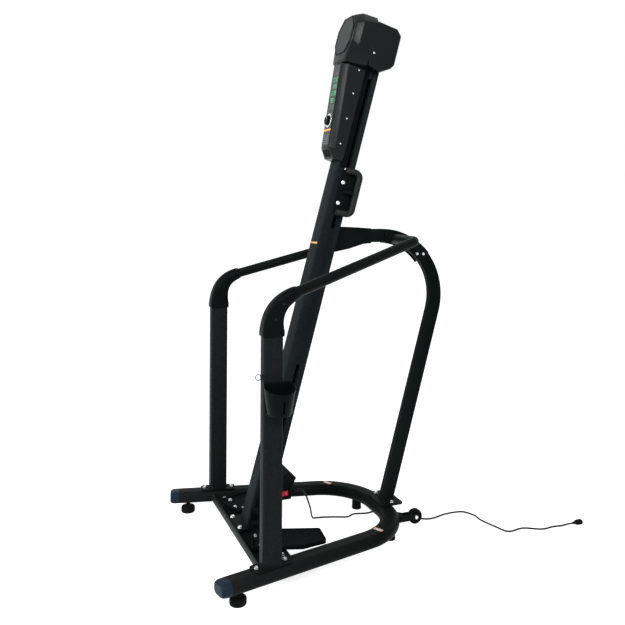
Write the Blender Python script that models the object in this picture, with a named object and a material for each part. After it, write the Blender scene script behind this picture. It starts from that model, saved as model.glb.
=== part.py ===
"""Vertical climber: leaning slotted mast, U base, two posts with handrails and a rear arch.

Metres, +Z up. The user stands on the -Y side and faces +Y. The machine's own layout puts
X = 0 on the mast and Y = 0 on the two front posts; the "machine" empty then moves the
whole layout so that the origin lies under the middle of its outline, on the floor.
"""
import math

import bmesh
import bpy
from mathutils import Matrix, Vector

# Driving dimensions: clearances and walls
GAP = 0.0003            # gap between pieces that touch
RUNNING = 0.0010        # gap between pieces that slide or turn
SHEET = 0.003           # sheet steel and moulded walls
TUBE_WALL = 0.0025      # wall of the frame tubes

# Base tube: a flat oval tube bent into a U that is open to the front
BASE_WIDTH = 0.085
BASE_HEIGHT = 0.052
BASE_TOP = 0.100
BASE_FRONT_Y = -0.173
BASE_HALF_SPREAD = 0.391        # leg centre from the middle, at the posts
BASE_TOE_IN = math.radians(12.8)
BASE_REAR_Y = 0.645             # centre line of the rear part
BASE_BEND = 0.250
CAP_LENGTH = 0.040

# Posts, elbow covers and handrails
POST_DEPTH = 0.076
POST_WIDTH = 0.048
POST_TOP = 0.965
POST_CORNER = 0.008
RAIL_DIAMETER = 0.042
RAIL_START_Z = 0.925            # the rail's end stands inside the post
RAIL_JOINT = (0.390, 0.0985, 1.107)
RAIL_CORNER = (0.229, 0.697, 1.281)
RAIL_CORNER_RADIUS = 0.030
ELBOW_BOTTOM = 0.950
ELBOW_PROUD = 0.005
ELBOW_FIT = 0.0008
ELBOW_HANDLE = 0.070            # how gently the elbow turns
FLANGE_THICK = 0.006
FLANGE_LENGTH = 0.156
FLANGE_WIDTH = 0.064
FLANGE_BOLT_PITCH = 0.123

# Mast, in its own leaning frame: X across, Y behind its front face, Z along it
MAST_LEAN = math.radians(15.0)
MAST_FRONT_Y = -0.0177          # front face, carried down to the floor
MAST_WIDTH = 0.092
MAST_DEPTH = 0.088
MAST_CORNER = 0.008
MAST_TOP = 2.135
SLOT_MIDDLE = 0.050
SLOT_WIDTH = 0.016
UPPER_SLOT = (1.391, 2.105)
LOWER_SLOT = (0.165, 0.795)
MAST_FOOT_THICK = 0.018
MAST_FOOT_HALF = 0.072
MAST_FOOT_FRONT = 0.042         # foot plate ahead of the mast
MAST_BOLTS = ((0.055, -0.021), (0.060, 0.094))

# Platform between the legs
PLATFORM_TOP = 0.084
PLATFORM_THICK = 0.006
PLATFORM_FRONT_Y = -0.040
PLATFORM_REAR_Y = 0.110
PLATFORM_LIP_TOP = 0.100
PLATFORM_LIP_BOTTOM = 0.066

# Hand grips, in the mast's frame
GRIP_LOW = 1.464
GRIP_HIGH = 1.651
GRIP_INNER = 0.040
GRIP_OUTER = 0.105
GRIP_TUBE = 0.027
GRIP_BEND = 0.026
GRIP_END_BEND = 0.018
GRIP_OUT = 0.029                # grip tube's centre from the mast's side
GRIP_BOLT_PITCH = 0.092
GRIP_PLATE = (0.028, 0.064)
SLIDER_DEPTH = 0.032
GRIP_SLIDER = (1.480, 1.630)
PEDAL_SLIDER = (0.190, 0.310)

# Pedals: e runs across a pedal, d along it, both turned out by the toe-out angle
PEDAL_TOP = 0.1025
PEDAL_THICK = 0.0095
PEDAL_TOE_OUT = math.radians(18.5)
PEDAL_INNER = 0.088
PEDAL_LEG_ROOM = 0.153          # pedal's outer edge to the leg's centre line at the posts
PEDAL_FRONT = 0.048
PEDAL_REAR = 0.326
PEDAL_SHOULDER = 0.250          # where the outer edge starts to taper
PEDAL_TAPER = 0.046
PEDAL_POINT = 0.020             # the outer rear corner lies this far behind the inner one
PEDAL_RIM = 0.008
PEDAL_BOLT_INNER = 0.148
PEDAL_BOLT_OUTER = 0.163        # outer bolt to the leg's centre line at the posts
ARM_THICK = 0.005
STROKE = 0.430                  # travel of grips and pedals along the mast

# Rear arch
ARCH_DEPTH = 0.060
ARCH_WIDTH = 0.050
ARCH_TOP_Z = 1.296
ARCH_START_Y = 0.588
ARCH_BEND_Y = 0.650
ARCH_BEND = 0.275
ARCH_TURN = math.radians(105.5)
ARCH_BOLTS = (0.059, 0.004)     # across, and ahead of the arch's foot
ARCH_FLANGE = (0.168, 0.108)
BRACKET_LOW = 1.293             # mast bracket, along the mast
BRACKET_HIGH = 1.409
BRACKET_HALF = 0.032
RAIL_PLATE_THICK = 0.004
RAIL_BOLTS = ((0.726, 1.269), (0.819, 1.211), (0.851, 1.210))

# Console and head, in the mast's frame
HEAD_HALF = 0.098
HEAD_FACE_HALF = 0.086
HEAD_FRONT = -0.100
HEAD_SIDE_FRONT = -0.062
HEAD_REAR = 0.126
HEAD_SEAM = 0.004
HEAD_OVERLAP = 0.031            # the head reaches this far below the mast's top
HEAD_TALL = 0.244
HEAD_SCREW = (0.016, 0.070)     # behind the front face, above the head's bottom
CONSOLE_HALF = 0.065
CONSOLE_FACE_HALF = 0.040
CONSOLE_REAR = 0.011
CONSOLE_BOTTOM = 1.682
CONSOLE_FACE_LOW = 1.727
CONSOLE_FRONT = -0.0605         # face at its low end; it slopes forward going up
CONSOLE_SLOPE = 0.100
CONSOLE_CHAMFER = 0.024
CONSOLE_SCREWS = (1.753, 1.867, 1.981, 2.088)
KNOB_AT = 1.847
KNOB_RADIUS = 0.021
KNOB_FLANGE = 0.031
KNOB_TALL = 0.017

# Drive inside the mast and the head
BELT_WIDTH = 0.008
BELT_THICK = 0.002
PULLEY_RADIUS = 0.021
PULLEY_FLANGE = 0.0245
PULLEY_MIDDLE = 0.040           # behind the mast's front face
PULLEY_RISE = 0.065             # top axle above the mast's top
BOTTOM_PULLEY = 0.155
AXLE_RADIUS = 0.006
FLYWHEEL_RADIUS = 0.072
FLYWHEEL_THICK = 0.022
BRAKE_FRONT = 0.046             # brake's hinge ahead of the mast's front face
BRAKE_DROP = 0.050              # and below the top axle
CHEEK_THICK = 0.004             # bracket plates beside the pulleys

# Small things on the frame
FOOT_Y = -0.133
FOOT_RADIUS = 0.0315
REAR_FOOT = (0.170, 0.615)
REAR_FOOT_RADIUS = 0.022
WHEEL_RADIUS = 0.032
WHEEL_WIDTH = 0.024
WHEEL_X = 0.130
WHEEL_Y = 0.757
WHEEL_Z = 0.062
CUP_RIM_Z = 0.786               # rim at the post; it falls towards the outside
CUP_RIM_FALL = 0.34
CUP_FLOOR_Z = 0.672
CUP_REACH = 0.090
CUP_RIM_HALF = 0.0595
CUP_FLOOR_HALF = 0.044
CUP_BACK = 0.030                # straight part next to the post
CUP_WALL = 0.003
CUP_Y = 0.012
RING_Z = 0.800
RING_RADIUS = 0.0105
CORD_DIAMETER = 0.0075
CORD_POINTS = 80
CORD_END_Y = 1.440
PLUG_Z = 0.0115
BOX_HALF = 0.046
SWITCH_AT = (0.178, 0.212)      # Y and Z of the rocker's middle
SWITCH_LONG = 0.028
SWITCH_WIDE = 0.020
SWITCH_TURN = math.radians(14)
SWITCH_ROOM = 0.0016            # at both ends, so the raised end can swing in
GLAND_AT = (0, 0.2085, 0.200)
GLAND_LONG = 0.030

# Worked out from the sizes above
PEDAL_WIDTH = BASE_HALF_SPREAD - PEDAL_LEG_ROOM - PEDAL_INNER
PEDAL_BOLTS = (PEDAL_BOLT_INNER, BASE_HALF_SPREAD - PEDAL_BOLT_OUTER)
BELT_X = MAST_WIDTH / 4
GRIP_STAND_OFF = MAST_WIDTH / 2 + GRIP_OUT
HEAD_BOTTOM = MAST_TOP - HEAD_OVERLAP
HEAD_TOP = HEAD_BOTTOM + HEAD_TALL
TOP_PULLEY = MAST_TOP + PULLEY_RISE
BRAKE_PIVOT = (-BRAKE_FRONT, TOP_PULLEY - BRAKE_DROP)
BASE_MIDDLE_Z = BASE_TOP - BASE_HEIGHT / 2
POST_INNER_DEPTH = POST_DEPTH - 2 * TUBE_WALL
MAST_FOOT_TOP = PLATFORM_TOP + GAP + MAST_FOOT_THICK
BELT_INNER = PULLEY_RADIUS + RUNNING
RAIL_RADIUS = RAIL_DIAMETER / 2
LEAN_SIN = math.sin(MAST_LEAN)
LEAN_COS = math.cos(MAST_LEAN)
CHEEK_OUT = MAST_WIDTH / 2 - SHEET - GAP


def leg_x(y):
    """Distance of a base leg's centre line from the middle."""
    return BASE_HALF_SPREAD - y * math.tan(BASE_TOE_IN)


FOOT_X = leg_x(FOOT_Y)
CUP_OUTER_X = BASE_HALF_SPREAD + POST_WIDTH / 2 + GAP + CUP_REACH
LEG_OUTER_X = leg_x(BASE_FRONT_Y - 0.3 * CAP_LENGTH) + BASE_WIDTH / 2 * math.cos(BASE_TOE_IN)
ARCH_REAR_Y = ARCH_BEND_Y + ARCH_BEND + ARCH_DEPTH / 2
CAP_FRONT_Y = BASE_FRONT_Y - CAP_LENGTH * math.cos(BASE_TOE_IN)
MIDDLE_X = (CUP_OUTER_X - LEG_OUTER_X) / 2
MIDDLE_Y = (ARCH_REAR_Y + CAP_FRONT_Y) / 2

UP = Vector((0, 0, 1))
SIDES = (("right", 1), ("left", -1))


def clear_scene():
    for item in list(bpy.data.objects):
        bpy.data.objects.remove(item, do_unlink=True)


def finish(name, colour, roughness, metallic=0.0):
    """One Principled material; each object gets its own."""
    made = bpy.data.materials.new(name)
    made.use_nodes = True
    shader = made.node_tree.nodes["Principled BSDF"]
    shader.inputs["Base Color"].default_value = (*colour, 1.0)
    shader.inputs["Roughness"].default_value = roughness
    shader.inputs["Metallic"].default_value = metallic
    return made


FINISHES = {
    "powder": ((0.022, 0.024, 0.026), 0.42, 0.3),
    "plastic": ((0.020, 0.021, 0.023), 0.50, 0.0),
    "gloss": ((0.028, 0.030, 0.033), 0.25, 0.0),
    "rubber": ((0.012, 0.012, 0.013), 0.80, 0.0),
    "steel": ((0.62, 0.63, 0.65), 0.28, 1.0),
    "cast": ((0.10, 0.10, 0.11), 0.55, 0.8),
    "red": ((0.60, 0.03, 0.03), 0.35, 0.0),
    "board": ((0.02, 0.16, 0.06), 0.50, 0.0),
}


def empty(name, parent=None, location=(0, 0, 0), lean=0.0):
    item = bpy.data.objects.new(name, None)
    bpy.context.scene.collection.objects.link(item)
    item.location = location
    item.rotation_euler = (lean, 0, 0)
    item.parent = parent
    return item


def piece(name, bm, parent, look, pivot=(0, 0, 0), cutter=False, sharp=35):
    """One named object; its origin is at the pivot, on the joint's axis where it moves."""
    bmesh.ops.recalc_face_normals(bm, faces=bm.faces[:])
    bmesh.ops.translate(bm, verts=bm.verts[:], vec=-Vector(pivot))
    mesh = bpy.data.meshes.new(name)
    bm.to_mesh(mesh)
    bm.free()
    mesh.shade_smooth()
    mesh.set_sharp_from_angle(angle=math.radians(sharp))
    item = bpy.data.objects.new(name, mesh)
    bpy.context.scene.collection.objects.link(item)
    item.parent = parent
    item.location = pivot
    if cutter:
        item.hide_render = True
        item.display_type = "WIRE"
    else:
        mesh.materials.append(finish(name, *FINISHES[look]))
    return item


def combine(target, other, operation):
    """Cuts the other object away from the target, or unites it with the target."""
    modifier = target.modifiers.new(other.name, "BOOLEAN")
    modifier.operation = operation
    modifier.solver = "EXACT"
    modifier.object = other


def box(bm, low, high, place=Matrix()):
    size = [b - a for a, b in zip(low, high)]
    middle = [(a + b) / 2 for a, b in zip(low, high)]
    matrix = place @ Matrix.Translation(middle) @ Matrix.Diagonal((*size, 1))
    bmesh.ops.create_cube(bm, size=1, matrix=matrix)


def prism(bm, outline, axis, low, high, place=Matrix()):
    """Extrudes a flat outline from low to high along the axis: 0 is X, 1 is Y, 2 is Z."""
    rows = []
    for level in (low, high):
        row = []
        for first, second in outline:
            point = [first, second]
            point.insert(axis, level)
            row.append(place @ Vector(point))
        rows.append(row)
    skin(bm, rows)


def skin(bm, outer, inner=None, ring=True, loop=False):
    """Joins rows of points into one closed body, solid or with an inner wall.

    A ring row closes on itself; a row that doesn't is a half shell with two seam faces.
    Loop joins the last row to the first.
    """
    outer = [[bm.verts.new(point) for point in row] for row in outer]
    inner = [[bm.verts.new(point) for point in row] for row in inner] if inner else None
    count = len(outer[0])
    steps = range(count if ring else count - 1)
    last = len(outer) if loop else len(outer) - 1
    for index in range(last):
        following = (index + 1) % len(outer)
        for rows in (outer, inner):
            if rows:
                for k in steps:
                    m = (k + 1) % count
                    bm.faces.new((rows[index][k], rows[index][m], rows[following][m], rows[following][k]))
        if inner and not ring:
            for k in (0, count - 1):
                bm.faces.new((outer[index][k], inner[index][k], inner[following][k], outer[following][k]))
    if loop:
        return
    for index in (0, len(outer) - 1):
        if inner:
            for k in steps:
                m = (k + 1) % count
                bm.faces.new((outer[index][k], outer[index][m], inner[index][m], inner[index][k]))
        else:
            bm.faces.new(outer[index])


def rounded(width, height, radius, steps=3, middle=(0, 0)):
    """Points of a rectangle with round corners."""
    points = []
    for corner, (sx, sy) in enumerate(((1, 1), (-1, 1), (-1, -1), (1, -1))):
        for step in range(steps + 1):
            angle = math.pi / 2 * (corner + step / steps)
            points.append((middle[0] + sx * (width / 2 - radius) + radius * math.cos(angle),
                           middle[1] + sy * (height / 2 - radius) + radius * math.sin(angle)))
    return points


def circle(radius, count=12):
    return [(radius * math.cos(2 * math.pi * k / count), radius * math.sin(2 * math.pi * k / count))
            for k in range(count)]


def lathe(bm, profile, count=20, place=Matrix(), closed=False):
    """Turns a profile of (radius, height) about Z; a closed profile makes a ring."""
    rows = []
    for k in range(count):
        angle = 2 * math.pi * k / count
        rows.append([place @ Vector((r * math.cos(angle), r * math.sin(angle), h)) for r, h in profile])
    if closed:
        skin(bm, rows, loop=True)
        return
    rings = [[row[j] for row in rows] for j in range(len(profile))]
    skin(bm, rings)


def along(axis, middle):
    """A matrix that turns Z to the axis X, Y or Z and moves to the middle."""
    turn = {"X": Matrix.Rotation(math.pi / 2, 4, "Y"), "Y": Matrix.Rotation(-math.pi / 2, 4, "X"),
            "Z": Matrix()}[axis]
    return Matrix.Translation(middle) @ turn


def rod(bm, radius, low, high, axis, middle, count=12):
    lathe(bm, [(radius, low), (radius, high)], count, along(axis, middle))


def fillet(points, radius, steps=6):
    """Rounds the inner corners of a line of points with arcs, of one radius or one each."""
    points = [Vector(point) for point in points]
    radii = radius if isinstance(radius, tuple) else (radius,) * len(points)
    path = [points[0]]
    for before, corner, after, radius in zip(points, points[1:], points[2:], radii):
        back = (before - corner).normalized()
        ahead = (after - corner).normalized()
        half = back.angle(ahead) / 2
        reach = radius / math.tan(half)
        centre = corner + (back + ahead).normalized() * (radius / math.sin(half))
        start = corner + back * reach - centre
        end = corner + ahead * reach - centre
        turn = start.angle(end)
        for step in range(steps + 1):
            share = step / steps
            path.append(centre + (start * math.sin((1 - share) * turn)
                                  + end * math.sin(share * turn)) / math.sin(turn))
    path.append(points[-1])
    return path


def frames(path, side, loop=False):
    """Carries a side direction along a path: point, side and top at each station."""
    path = [Vector(point) for point in path]
    side = Vector(side)
    made = []
    for index, point in enumerate(path):
        if loop:
            ahead = path[(index + 1) % len(path)] - path[index - 1]
        else:
            ahead = path[min(index + 1, len(path) - 1)] - path[max(index - 1, 0)]
        ahead.normalize()
        side = (side - ahead * side.dot(ahead)).normalized()
        made.append((point, side.copy(), side.cross(ahead)))
    return made


def sweep(bm, path, section, side, inner=None, loop=False):
    """Carries a section along a path; with an inner section it makes an open-ended tube."""
    stations = frames(path, side, loop)

    def rows(shape):
        return [[point + across * a + top * b for a, b in shape] for point, across, top in stations]
    skin(bm, rows(section), rows(inner) if inner else None, loop=loop)


def bezier(start, start_way, end, end_way, steps):
    """Points of a smooth curve with the given end directions and handle lengths."""
    start, end = Vector(start), Vector(end)
    first, second = start + Vector(start_way), end - Vector(end_way)
    points = []
    for step in range(steps + 1):
        t = step / steps
        s = 1 - t
        points.append(start * s ** 3 + first * (3 * s * s * t) + second * (3 * s * t * t) + end * t ** 3)
    return points


def hex_bolt(bm, place, across=0.019, head=0.007, washer=0.012):
    """A bolt head on its washer, sunk a little; place puts Z out of the surface."""
    lathe(bm, [(washer, -0.001), (washer, 0.002), (across / 2, 0.002), (across / 2, head),
               (across / 2 - 0.0015, head + 0.0015)], 12, place)


def button_screw(bm, place, radius=0.005, head=0.003):
    lathe(bm, [(radius, -0.001), (radius, head * 0.4), (radius * 0.6, head)], 10, place)


def base_path():
    corner = leg_x(BASE_REAR_Y)
    front = leg_x(BASE_FRONT_Y)
    z = BASE_MIDDLE_Z
    return fillet([(front, BASE_FRONT_Y, z), (corner, BASE_REAR_Y, z),
                   (-corner, BASE_REAR_Y, z), (-front, BASE_FRONT_Y, z)], BASE_BEND, 7)


def base_u_tube(parent):
    bm = bmesh.new()
    inset = 2 * TUBE_WALL
    sweep(bm, base_path(), rounded(BASE_WIDTH, BASE_HEIGHT, 0.024), (1, 0, 0),
          rounded(BASE_WIDTH - inset, BASE_HEIGHT - inset, 0.024 - TUBE_WALL))
    piece("base_u_tube", bm, parent, "powder")


def base_end_caps(parent):
    for name, hand in SIDES:
        bm = bmesh.new()
        start = Vector((hand * leg_x(BASE_FRONT_Y), BASE_FRONT_Y, BASE_MIDDLE_Z))
        out = Vector((hand * math.sin(BASE_TOE_IN), -math.cos(BASE_TOE_IN), 0))
        across = UP.cross(out)
        rows = []
        for share, size in ((0.0, 1.0), (0.30, 1.0), (0.62, 0.90), (0.86, 0.68), (1.0, 0.36)):
            middle = start + out * (GAP + CAP_LENGTH * share)
            rows.append([middle + across * a * size + UP * b * size
                         for a, b in rounded(BASE_WIDTH, BASE_HEIGHT, 0.024)])
        skin(bm, rows)
        piece("base_end_cap_" + name, bm, parent, "plastic")


def platform(parent):
    """A pressed tray whose slanted ends follow the two legs."""
    reach = (BASE_WIDTH / 2 + GAP) / math.cos(BASE_TOE_IN)
    lip = PLATFORM_FRONT_Y + 0.004
    floor = PLATFORM_TOP - PLATFORM_THICK
    outline = [(PLATFORM_FRONT_Y, PLATFORM_LIP_BOTTOM), (PLATFORM_FRONT_Y, PLATFORM_LIP_TOP),
               (lip, PLATFORM_LIP_TOP), (lip, PLATFORM_TOP), (PLATFORM_REAR_Y, PLATFORM_TOP),
               (PLATFORM_REAR_Y, PLATFORM_LIP_BOTTOM), (PLATFORM_REAR_Y - 0.004, PLATFORM_LIP_BOTTOM),
               (PLATFORM_REAR_Y - 0.004, floor), (lip, floor), (lip, PLATFORM_LIP_BOTTOM)]
    bm = bmesh.new()
    skin(bm, [[Vector((hand * (leg_x(y) - reach), y, z)) for y, z in outline] for _, hand in SIDES])
    piece("platform", bm, parent, "powder")


def post_place(hand):
    """The foot flange of a post lies along its leg."""
    return Matrix.Translation((hand * BASE_HALF_SPREAD, 0, 0)) @ Matrix.Rotation(hand * BASE_TOE_IN, 4, "Z")


def posts(parent):
    bottom = BASE_TOP + GAP
    for name, hand in SIDES:
        middle = (hand * BASE_HALF_SPREAD, 0)
        rows = [[], []]
        inner = [[], []]
        for index, level in enumerate((bottom + FLANGE_THICK / 2, POST_TOP)):
            for a, b in rounded(POST_WIDTH, POST_DEPTH, POST_CORNER, middle=middle):
                rows[index].append(Vector((a, b, level)))
            for a, b in rounded(POST_WIDTH - 2 * TUBE_WALL, POST_INNER_DEPTH,
                                POST_CORNER - TUBE_WALL, middle=middle):
                inner[index].append(Vector((a, b, level)))
        bm = bmesh.new()
        skin(bm, rows, inner)
        post = piece("post_" + name, bm, parent, "powder")
        bm = bmesh.new()
        prism(bm, rounded(FLANGE_WIDTH, FLANGE_LENGTH, 0.014), 2, bottom, bottom + FLANGE_THICK,
              post_place(hand))
        combine(post, piece("post_flange_" + name, bm, parent, "powder", cutter=True), "UNION")
        bm = bmesh.new()
        for step in (-0.5, 0.5):
            hex_bolt(bm, post_place(hand) @ Matrix.Translation((0, step * FLANGE_BOLT_PITCH, bottom + FLANGE_THICK)))
        combine(post, piece("post_bolts_" + name, bm, parent, "steel", cutter=True), "UNION")


def rail_way(hand):
    """Direction in which a handrail runs, from the elbow to its rear corner."""
    start, end = Vector(RAIL_JOINT), Vector(RAIL_CORNER)
    way = (end - start).normalized()
    return Vector((hand * way.x, way.y, way.z))


def elbow_curve(hand, steps):
    """Centre line through an elbow, from the post's top to the rail's joint."""
    joint = Vector((hand * RAIL_JOINT[0], RAIL_JOINT[1], RAIL_JOINT[2]))
    start = (hand * BASE_HALF_SPREAD, 0, POST_TOP + 0.010)
    return bezier(start, (0, 0, ELBOW_HANDLE), joint, rail_way(hand) * ELBOW_HANDLE, steps)


def handrails(parent):
    plate = ARCH_WIDTH / 2 + GAP + RAIL_PLATE_THICK + GAP
    for name, hand in SIDES:
        curve = elbow_curve(hand, 8)
        corner = Vector((hand * RAIL_CORNER[0], RAIL_CORNER[1], RAIL_CORNER[2]))
        run = fillet([curve[-1], corner, (hand * plate, RAIL_CORNER[1], RAIL_CORNER[2])],
                     RAIL_CORNER_RADIUS, 6)
        path = [Vector((hand * BASE_HALF_SPREAD, 0, RAIL_START_Z))] + curve + run[1:]
        bm = bmesh.new()
        sweep(bm, path, circle(RAIL_RADIUS, 10), (1, 0, 0), circle(RAIL_RADIUS - TUBE_WALL, 10))
        piece("handrail_" + name, bm, parent, "powder")


def elbow_covers(parent):
    """Each elbow cover is two half shells that meet in the plane of the bend."""
    for name, hand in SIDES:
        curve = elbow_curve(hand, 8)
        path = [Vector((hand * BASE_HALF_SPREAD, 0, z)) for z in (ELBOW_BOTTOM, POST_TOP + 0.002)] + curve
        stations = frames(path, (hand, 0, 0))
        for part, face in (("outer", 1), ("inner", -1)):
            outer, inner = [], []
            for index, (point, across, top) in enumerate(stations):
                share = max(index - 1, 0) / (len(stations) - 2)
                half = POST_WIDTH / 2 + ELBOW_PROUD
                tall = POST_DEPTH / 2 + ELBOW_PROUD
                half += (RAIL_RADIUS + ELBOW_PROUD - half) * share
                tall += (RAIL_RADIUS + ELBOW_PROUD - tall) * share ** 0.8
                for row, shrink in ((outer, 0.0), (inner, ELBOW_PROUD - ELBOW_FIT - GAP * share)):
                    line = []
                    for step in range(9):
                        angle = math.pi * (step / 8 - 0.5)
                        bulge = 1.0 - 0.78 * (1 - share)
                        a = abs(math.cos(angle)) ** bulge * (half - shrink) + GAP
                        b = abs(math.sin(angle)) ** bulge * (tall - shrink)
                        line.append(point + across * face * a + top * math.copysign(b, angle))
                    row.append(line)
            bm = bmesh.new()
            skin(bm, outer, inner, ring=False)
            piece(f"elbow_{part}_{name}", bm, parent, "plastic")


def arch_path():
    centre = Vector((0, ARCH_BEND_Y, ARCH_TOP_Z - ARCH_BEND))
    path = [Vector((0, ARCH_START_Y, ARCH_TOP_Z))]
    steps = 10
    for step in range(steps + 1):
        angle = ARCH_TURN * step / steps
        path.append(centre + Vector((0, math.sin(angle), math.cos(angle))) * ARCH_BEND)
    fall = path[-1].z - (BASE_TOP + GAP + FLANGE_THICK / 2)
    path.append(path[-1] + Vector((0, math.cos(ARCH_TURN) / math.sin(ARCH_TURN), -1)) * fall)
    return path


def arch(parent):
    path = arch_path()
    bm = bmesh.new()
    inset = 2 * TUBE_WALL
    sweep(bm, path, rounded(ARCH_WIDTH, ARCH_DEPTH, 0.014), (1, 0, 0),
          rounded(ARCH_WIDTH - inset, ARCH_DEPTH - inset, 0.014 - TUBE_WALL))
    tube = piece("arch_tube", bm, parent, "powder")
    bm = bmesh.new()
    foot_y = path[-1].y
    box(bm, (-ARCH_WIDTH, foot_y - 3 * ARCH_DEPTH, 0), (ARCH_WIDTH, foot_y + 3 * ARCH_DEPTH, BASE_TOP + GAP))
    combine(tube, piece("arch_foot_trim", bm, parent, "powder", cutter=True), "DIFFERENCE")
    bm = bmesh.new()
    bottom = BASE_TOP + GAP
    prism(bm, rounded(*ARCH_FLANGE, 0.020, middle=(0, foot_y - 0.006)), 2, bottom, bottom + FLANGE_THICK)
    combine(tube, piece("arch_flange", bm, parent, "powder", cutter=True), "UNION")
    bm = bmesh.new()
    for _, hand in SIDES:
        hex_bolt(bm, Matrix.Translation((hand * ARCH_BOLTS[0], foot_y - ARCH_BOLTS[1], bottom + FLANGE_THICK)))
    combine(tube, piece("arch_bolts", bm, parent, "steel", cutter=True), "UNION")


def mast_point(behind, along_mast):
    """A point of the mast's middle plane in the machine's own layout: its Y and Z."""
    y = MAST_FRONT_Y + along_mast * LEAN_SIN + behind * LEAN_COS
    return y, along_mast * LEAN_COS - behind * LEAN_SIN


def mast_bracket(parent):
    """A boxed gusset from the mast to the arch, with a collar around the arch's end."""
    back = MAST_DEPTH + GAP
    half = ARCH_DEPTH / 2
    end = ARCH_START_Y - GAP
    outline = [mast_point(back, BRACKET_HIGH), (end - 0.040, ARCH_TOP_Z + half + 0.006),
               (end, ARCH_TOP_Z + half + 0.003), (end, ARCH_TOP_Z - half - 0.003),
               (end - 0.040, ARCH_TOP_Z - half - 0.006), (end - 0.110, ARCH_TOP_Z - half - 0.026),
               mast_point(back, BRACKET_LOW)]
    bm = bmesh.new()
    prism(bm, outline, 0, -BRACKET_HALF, BRACKET_HALF)
    piece("mast_bracket", bm, parent, "powder")


def rail_brackets(parent):
    """Plates on the two sides of the arch, following its bend."""
    centre = Vector((ARCH_BEND_Y, ARCH_TOP_Z - ARCH_BEND))
    outline = []
    for radius, degrees in ((ARCH_BEND + 0.027, (2, 14, 26, 38, 50)), (ARCH_BEND - 0.035, (53, 40, 27, 14, 2))):
        for degree in degrees:
            angle = math.radians(degree)
            outline.append((centre.x + radius * math.sin(angle), centre.y + radius * math.cos(angle)))
    near = ARCH_WIDTH / 2 + GAP
    for name, hand in SIDES:
        levels = sorted((hand * near, hand * (near + RAIL_PLATE_THICK)))
        bm = bmesh.new()
        prism(bm, outline, 0, *levels)
        plate = piece("rail_bracket_" + name, bm, parent, "powder")
        bm = bmesh.new()
        for y, z in RAIL_BOLTS:
            place = Matrix.Translation((hand * (near + RAIL_PLATE_THICK), y, z))
            button_screw(bm, place @ Matrix.Rotation(hand * math.pi / 2, 4, "Y"), 0.010, 0.006)
        combine(plate, piece("rail_bolts_" + name, bm, parent, "steel", cutter=True), "UNION")


def soften(outline, radius, steps=3):
    """Rounds the corners of a closed flat outline."""
    corners = [Vector((*point, 0)) for point in outline]
    count = len(corners)
    made = []
    for k in range(count):
        made += fillet([(corners[k - 1] + corners[k]) / 2, corners[k],
                        (corners[k] + corners[(k + 1) % count]) / 2], radius, steps)[1:-1]
    return [(point.x, point.y) for point in made]


def mast(machine, leaning):
    half = MAST_DEPTH / 2
    foot = MAST_FOOT_TOP - 0.003

    def rows(shrink):
        shape = rounded(MAST_WIDTH - 2 * shrink, MAST_DEPTH - 2 * shrink, MAST_CORNER - shrink / 2,
                        middle=(0, half))
        low = [Vector((x, n, (foot + n * LEAN_SIN) / LEAN_COS)) for x, n in shape]
        return [low, [Vector((x, n, MAST_TOP)) for x, n in shape]]
    bm = bmesh.new()
    skin(bm, rows(0.0), rows(SHEET))
    tube = piece("mast", bm, leaning, "powder")
    bm = bmesh.new()
    front = mast_point(0, foot / LEAN_COS)[0] - MAST_FOOT_FRONT
    rear = PLATFORM_REAR_Y
    prism(bm, rounded(2 * MAST_FOOT_HALF, rear - front, 0.010, middle=(0, (front + rear) / 2)), 2,
          PLATFORM_TOP + GAP, MAST_FOOT_TOP)
    combine(tube, piece("mast_flange", bm, machine, "powder", cutter=True), "UNION")
    bm = bmesh.new()
    for _, hand in SIDES:
        for x, y in MAST_BOLTS:
            hex_bolt(bm, Matrix.Translation((hand * x, y, MAST_FOOT_TOP)), 0.016, 0.006, 0.010)
    combine(tube, piece("mast_bolts", bm, machine, "steel", cutter=True), "UNION")
    for name, (low, high) in (("upper_slot", UPPER_SLOT), ("lower_slot", LOWER_SLOT)):
        bm = bmesh.new()
        box(bm, (-MAST_WIDTH, SLOT_MIDDLE - SLOT_WIDTH / 2, low),
            (MAST_WIDTH, SLOT_MIDDLE + SLOT_WIDTH / 2, high))
        combine(tube, piece(name, bm, leaning, "powder", cutter=True), "DIFFERENCE")


def sided(hand, low, high):
    """Corners of a box given for the right side, mirrored for the left one."""
    xs = sorted((hand * low[0], hand * high[0]))
    return (xs[0], low[1], low[2]), (xs[1], high[1], high[2])


def slider(name, hand, span, leaning, carrier=None):
    """A block inside the mast, with the lug that holds the belt's rear run.

    It is a piece of its own, or part of the carrier where one is given.
    """
    outer = MAST_WIDTH / 2 - SHEET - RUNNING
    near = BELT_X + BELT_WIDTH / 2 + 0.0015
    low_n = SLOT_MIDDLE - SLIDER_DEPTH / 2
    lug_n = PULLEY_MIDDLE + BELT_INNER + BELT_THICK + GAP
    middle = (span[0] + span[1]) / 2
    bm = bmesh.new()
    box(bm, *sided(hand, (near, low_n, span[0]), (outer, low_n + SLIDER_DEPTH, span[1])))
    block = piece(name, bm, leaning, "plastic", cutter=carrier is not None)
    if carrier:
        combine(carrier, block, "UNION")
    bm = bmesh.new()
    box(bm, *sided(hand, (BELT_X - 0.003, lug_n, middle - 0.018), (near + 0.004, lug_n + 0.006, middle + 0.018)))
    combine(carrier or block, piece(name + "_lug", bm, leaning, "plastic", cutter=True), "UNION")


def stem(bm, hand, span, plate_x, inner):
    """The bar through the slot that joins a slider to its plate outside."""
    half = SLOT_WIDTH / 2 - RUNNING
    box(bm, *sided(hand, (inner, SLOT_MIDDLE - half, span[0] + 0.010),
                   (plate_x + 0.002, SLOT_MIDDLE + half, span[1] - 0.010)))


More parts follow.
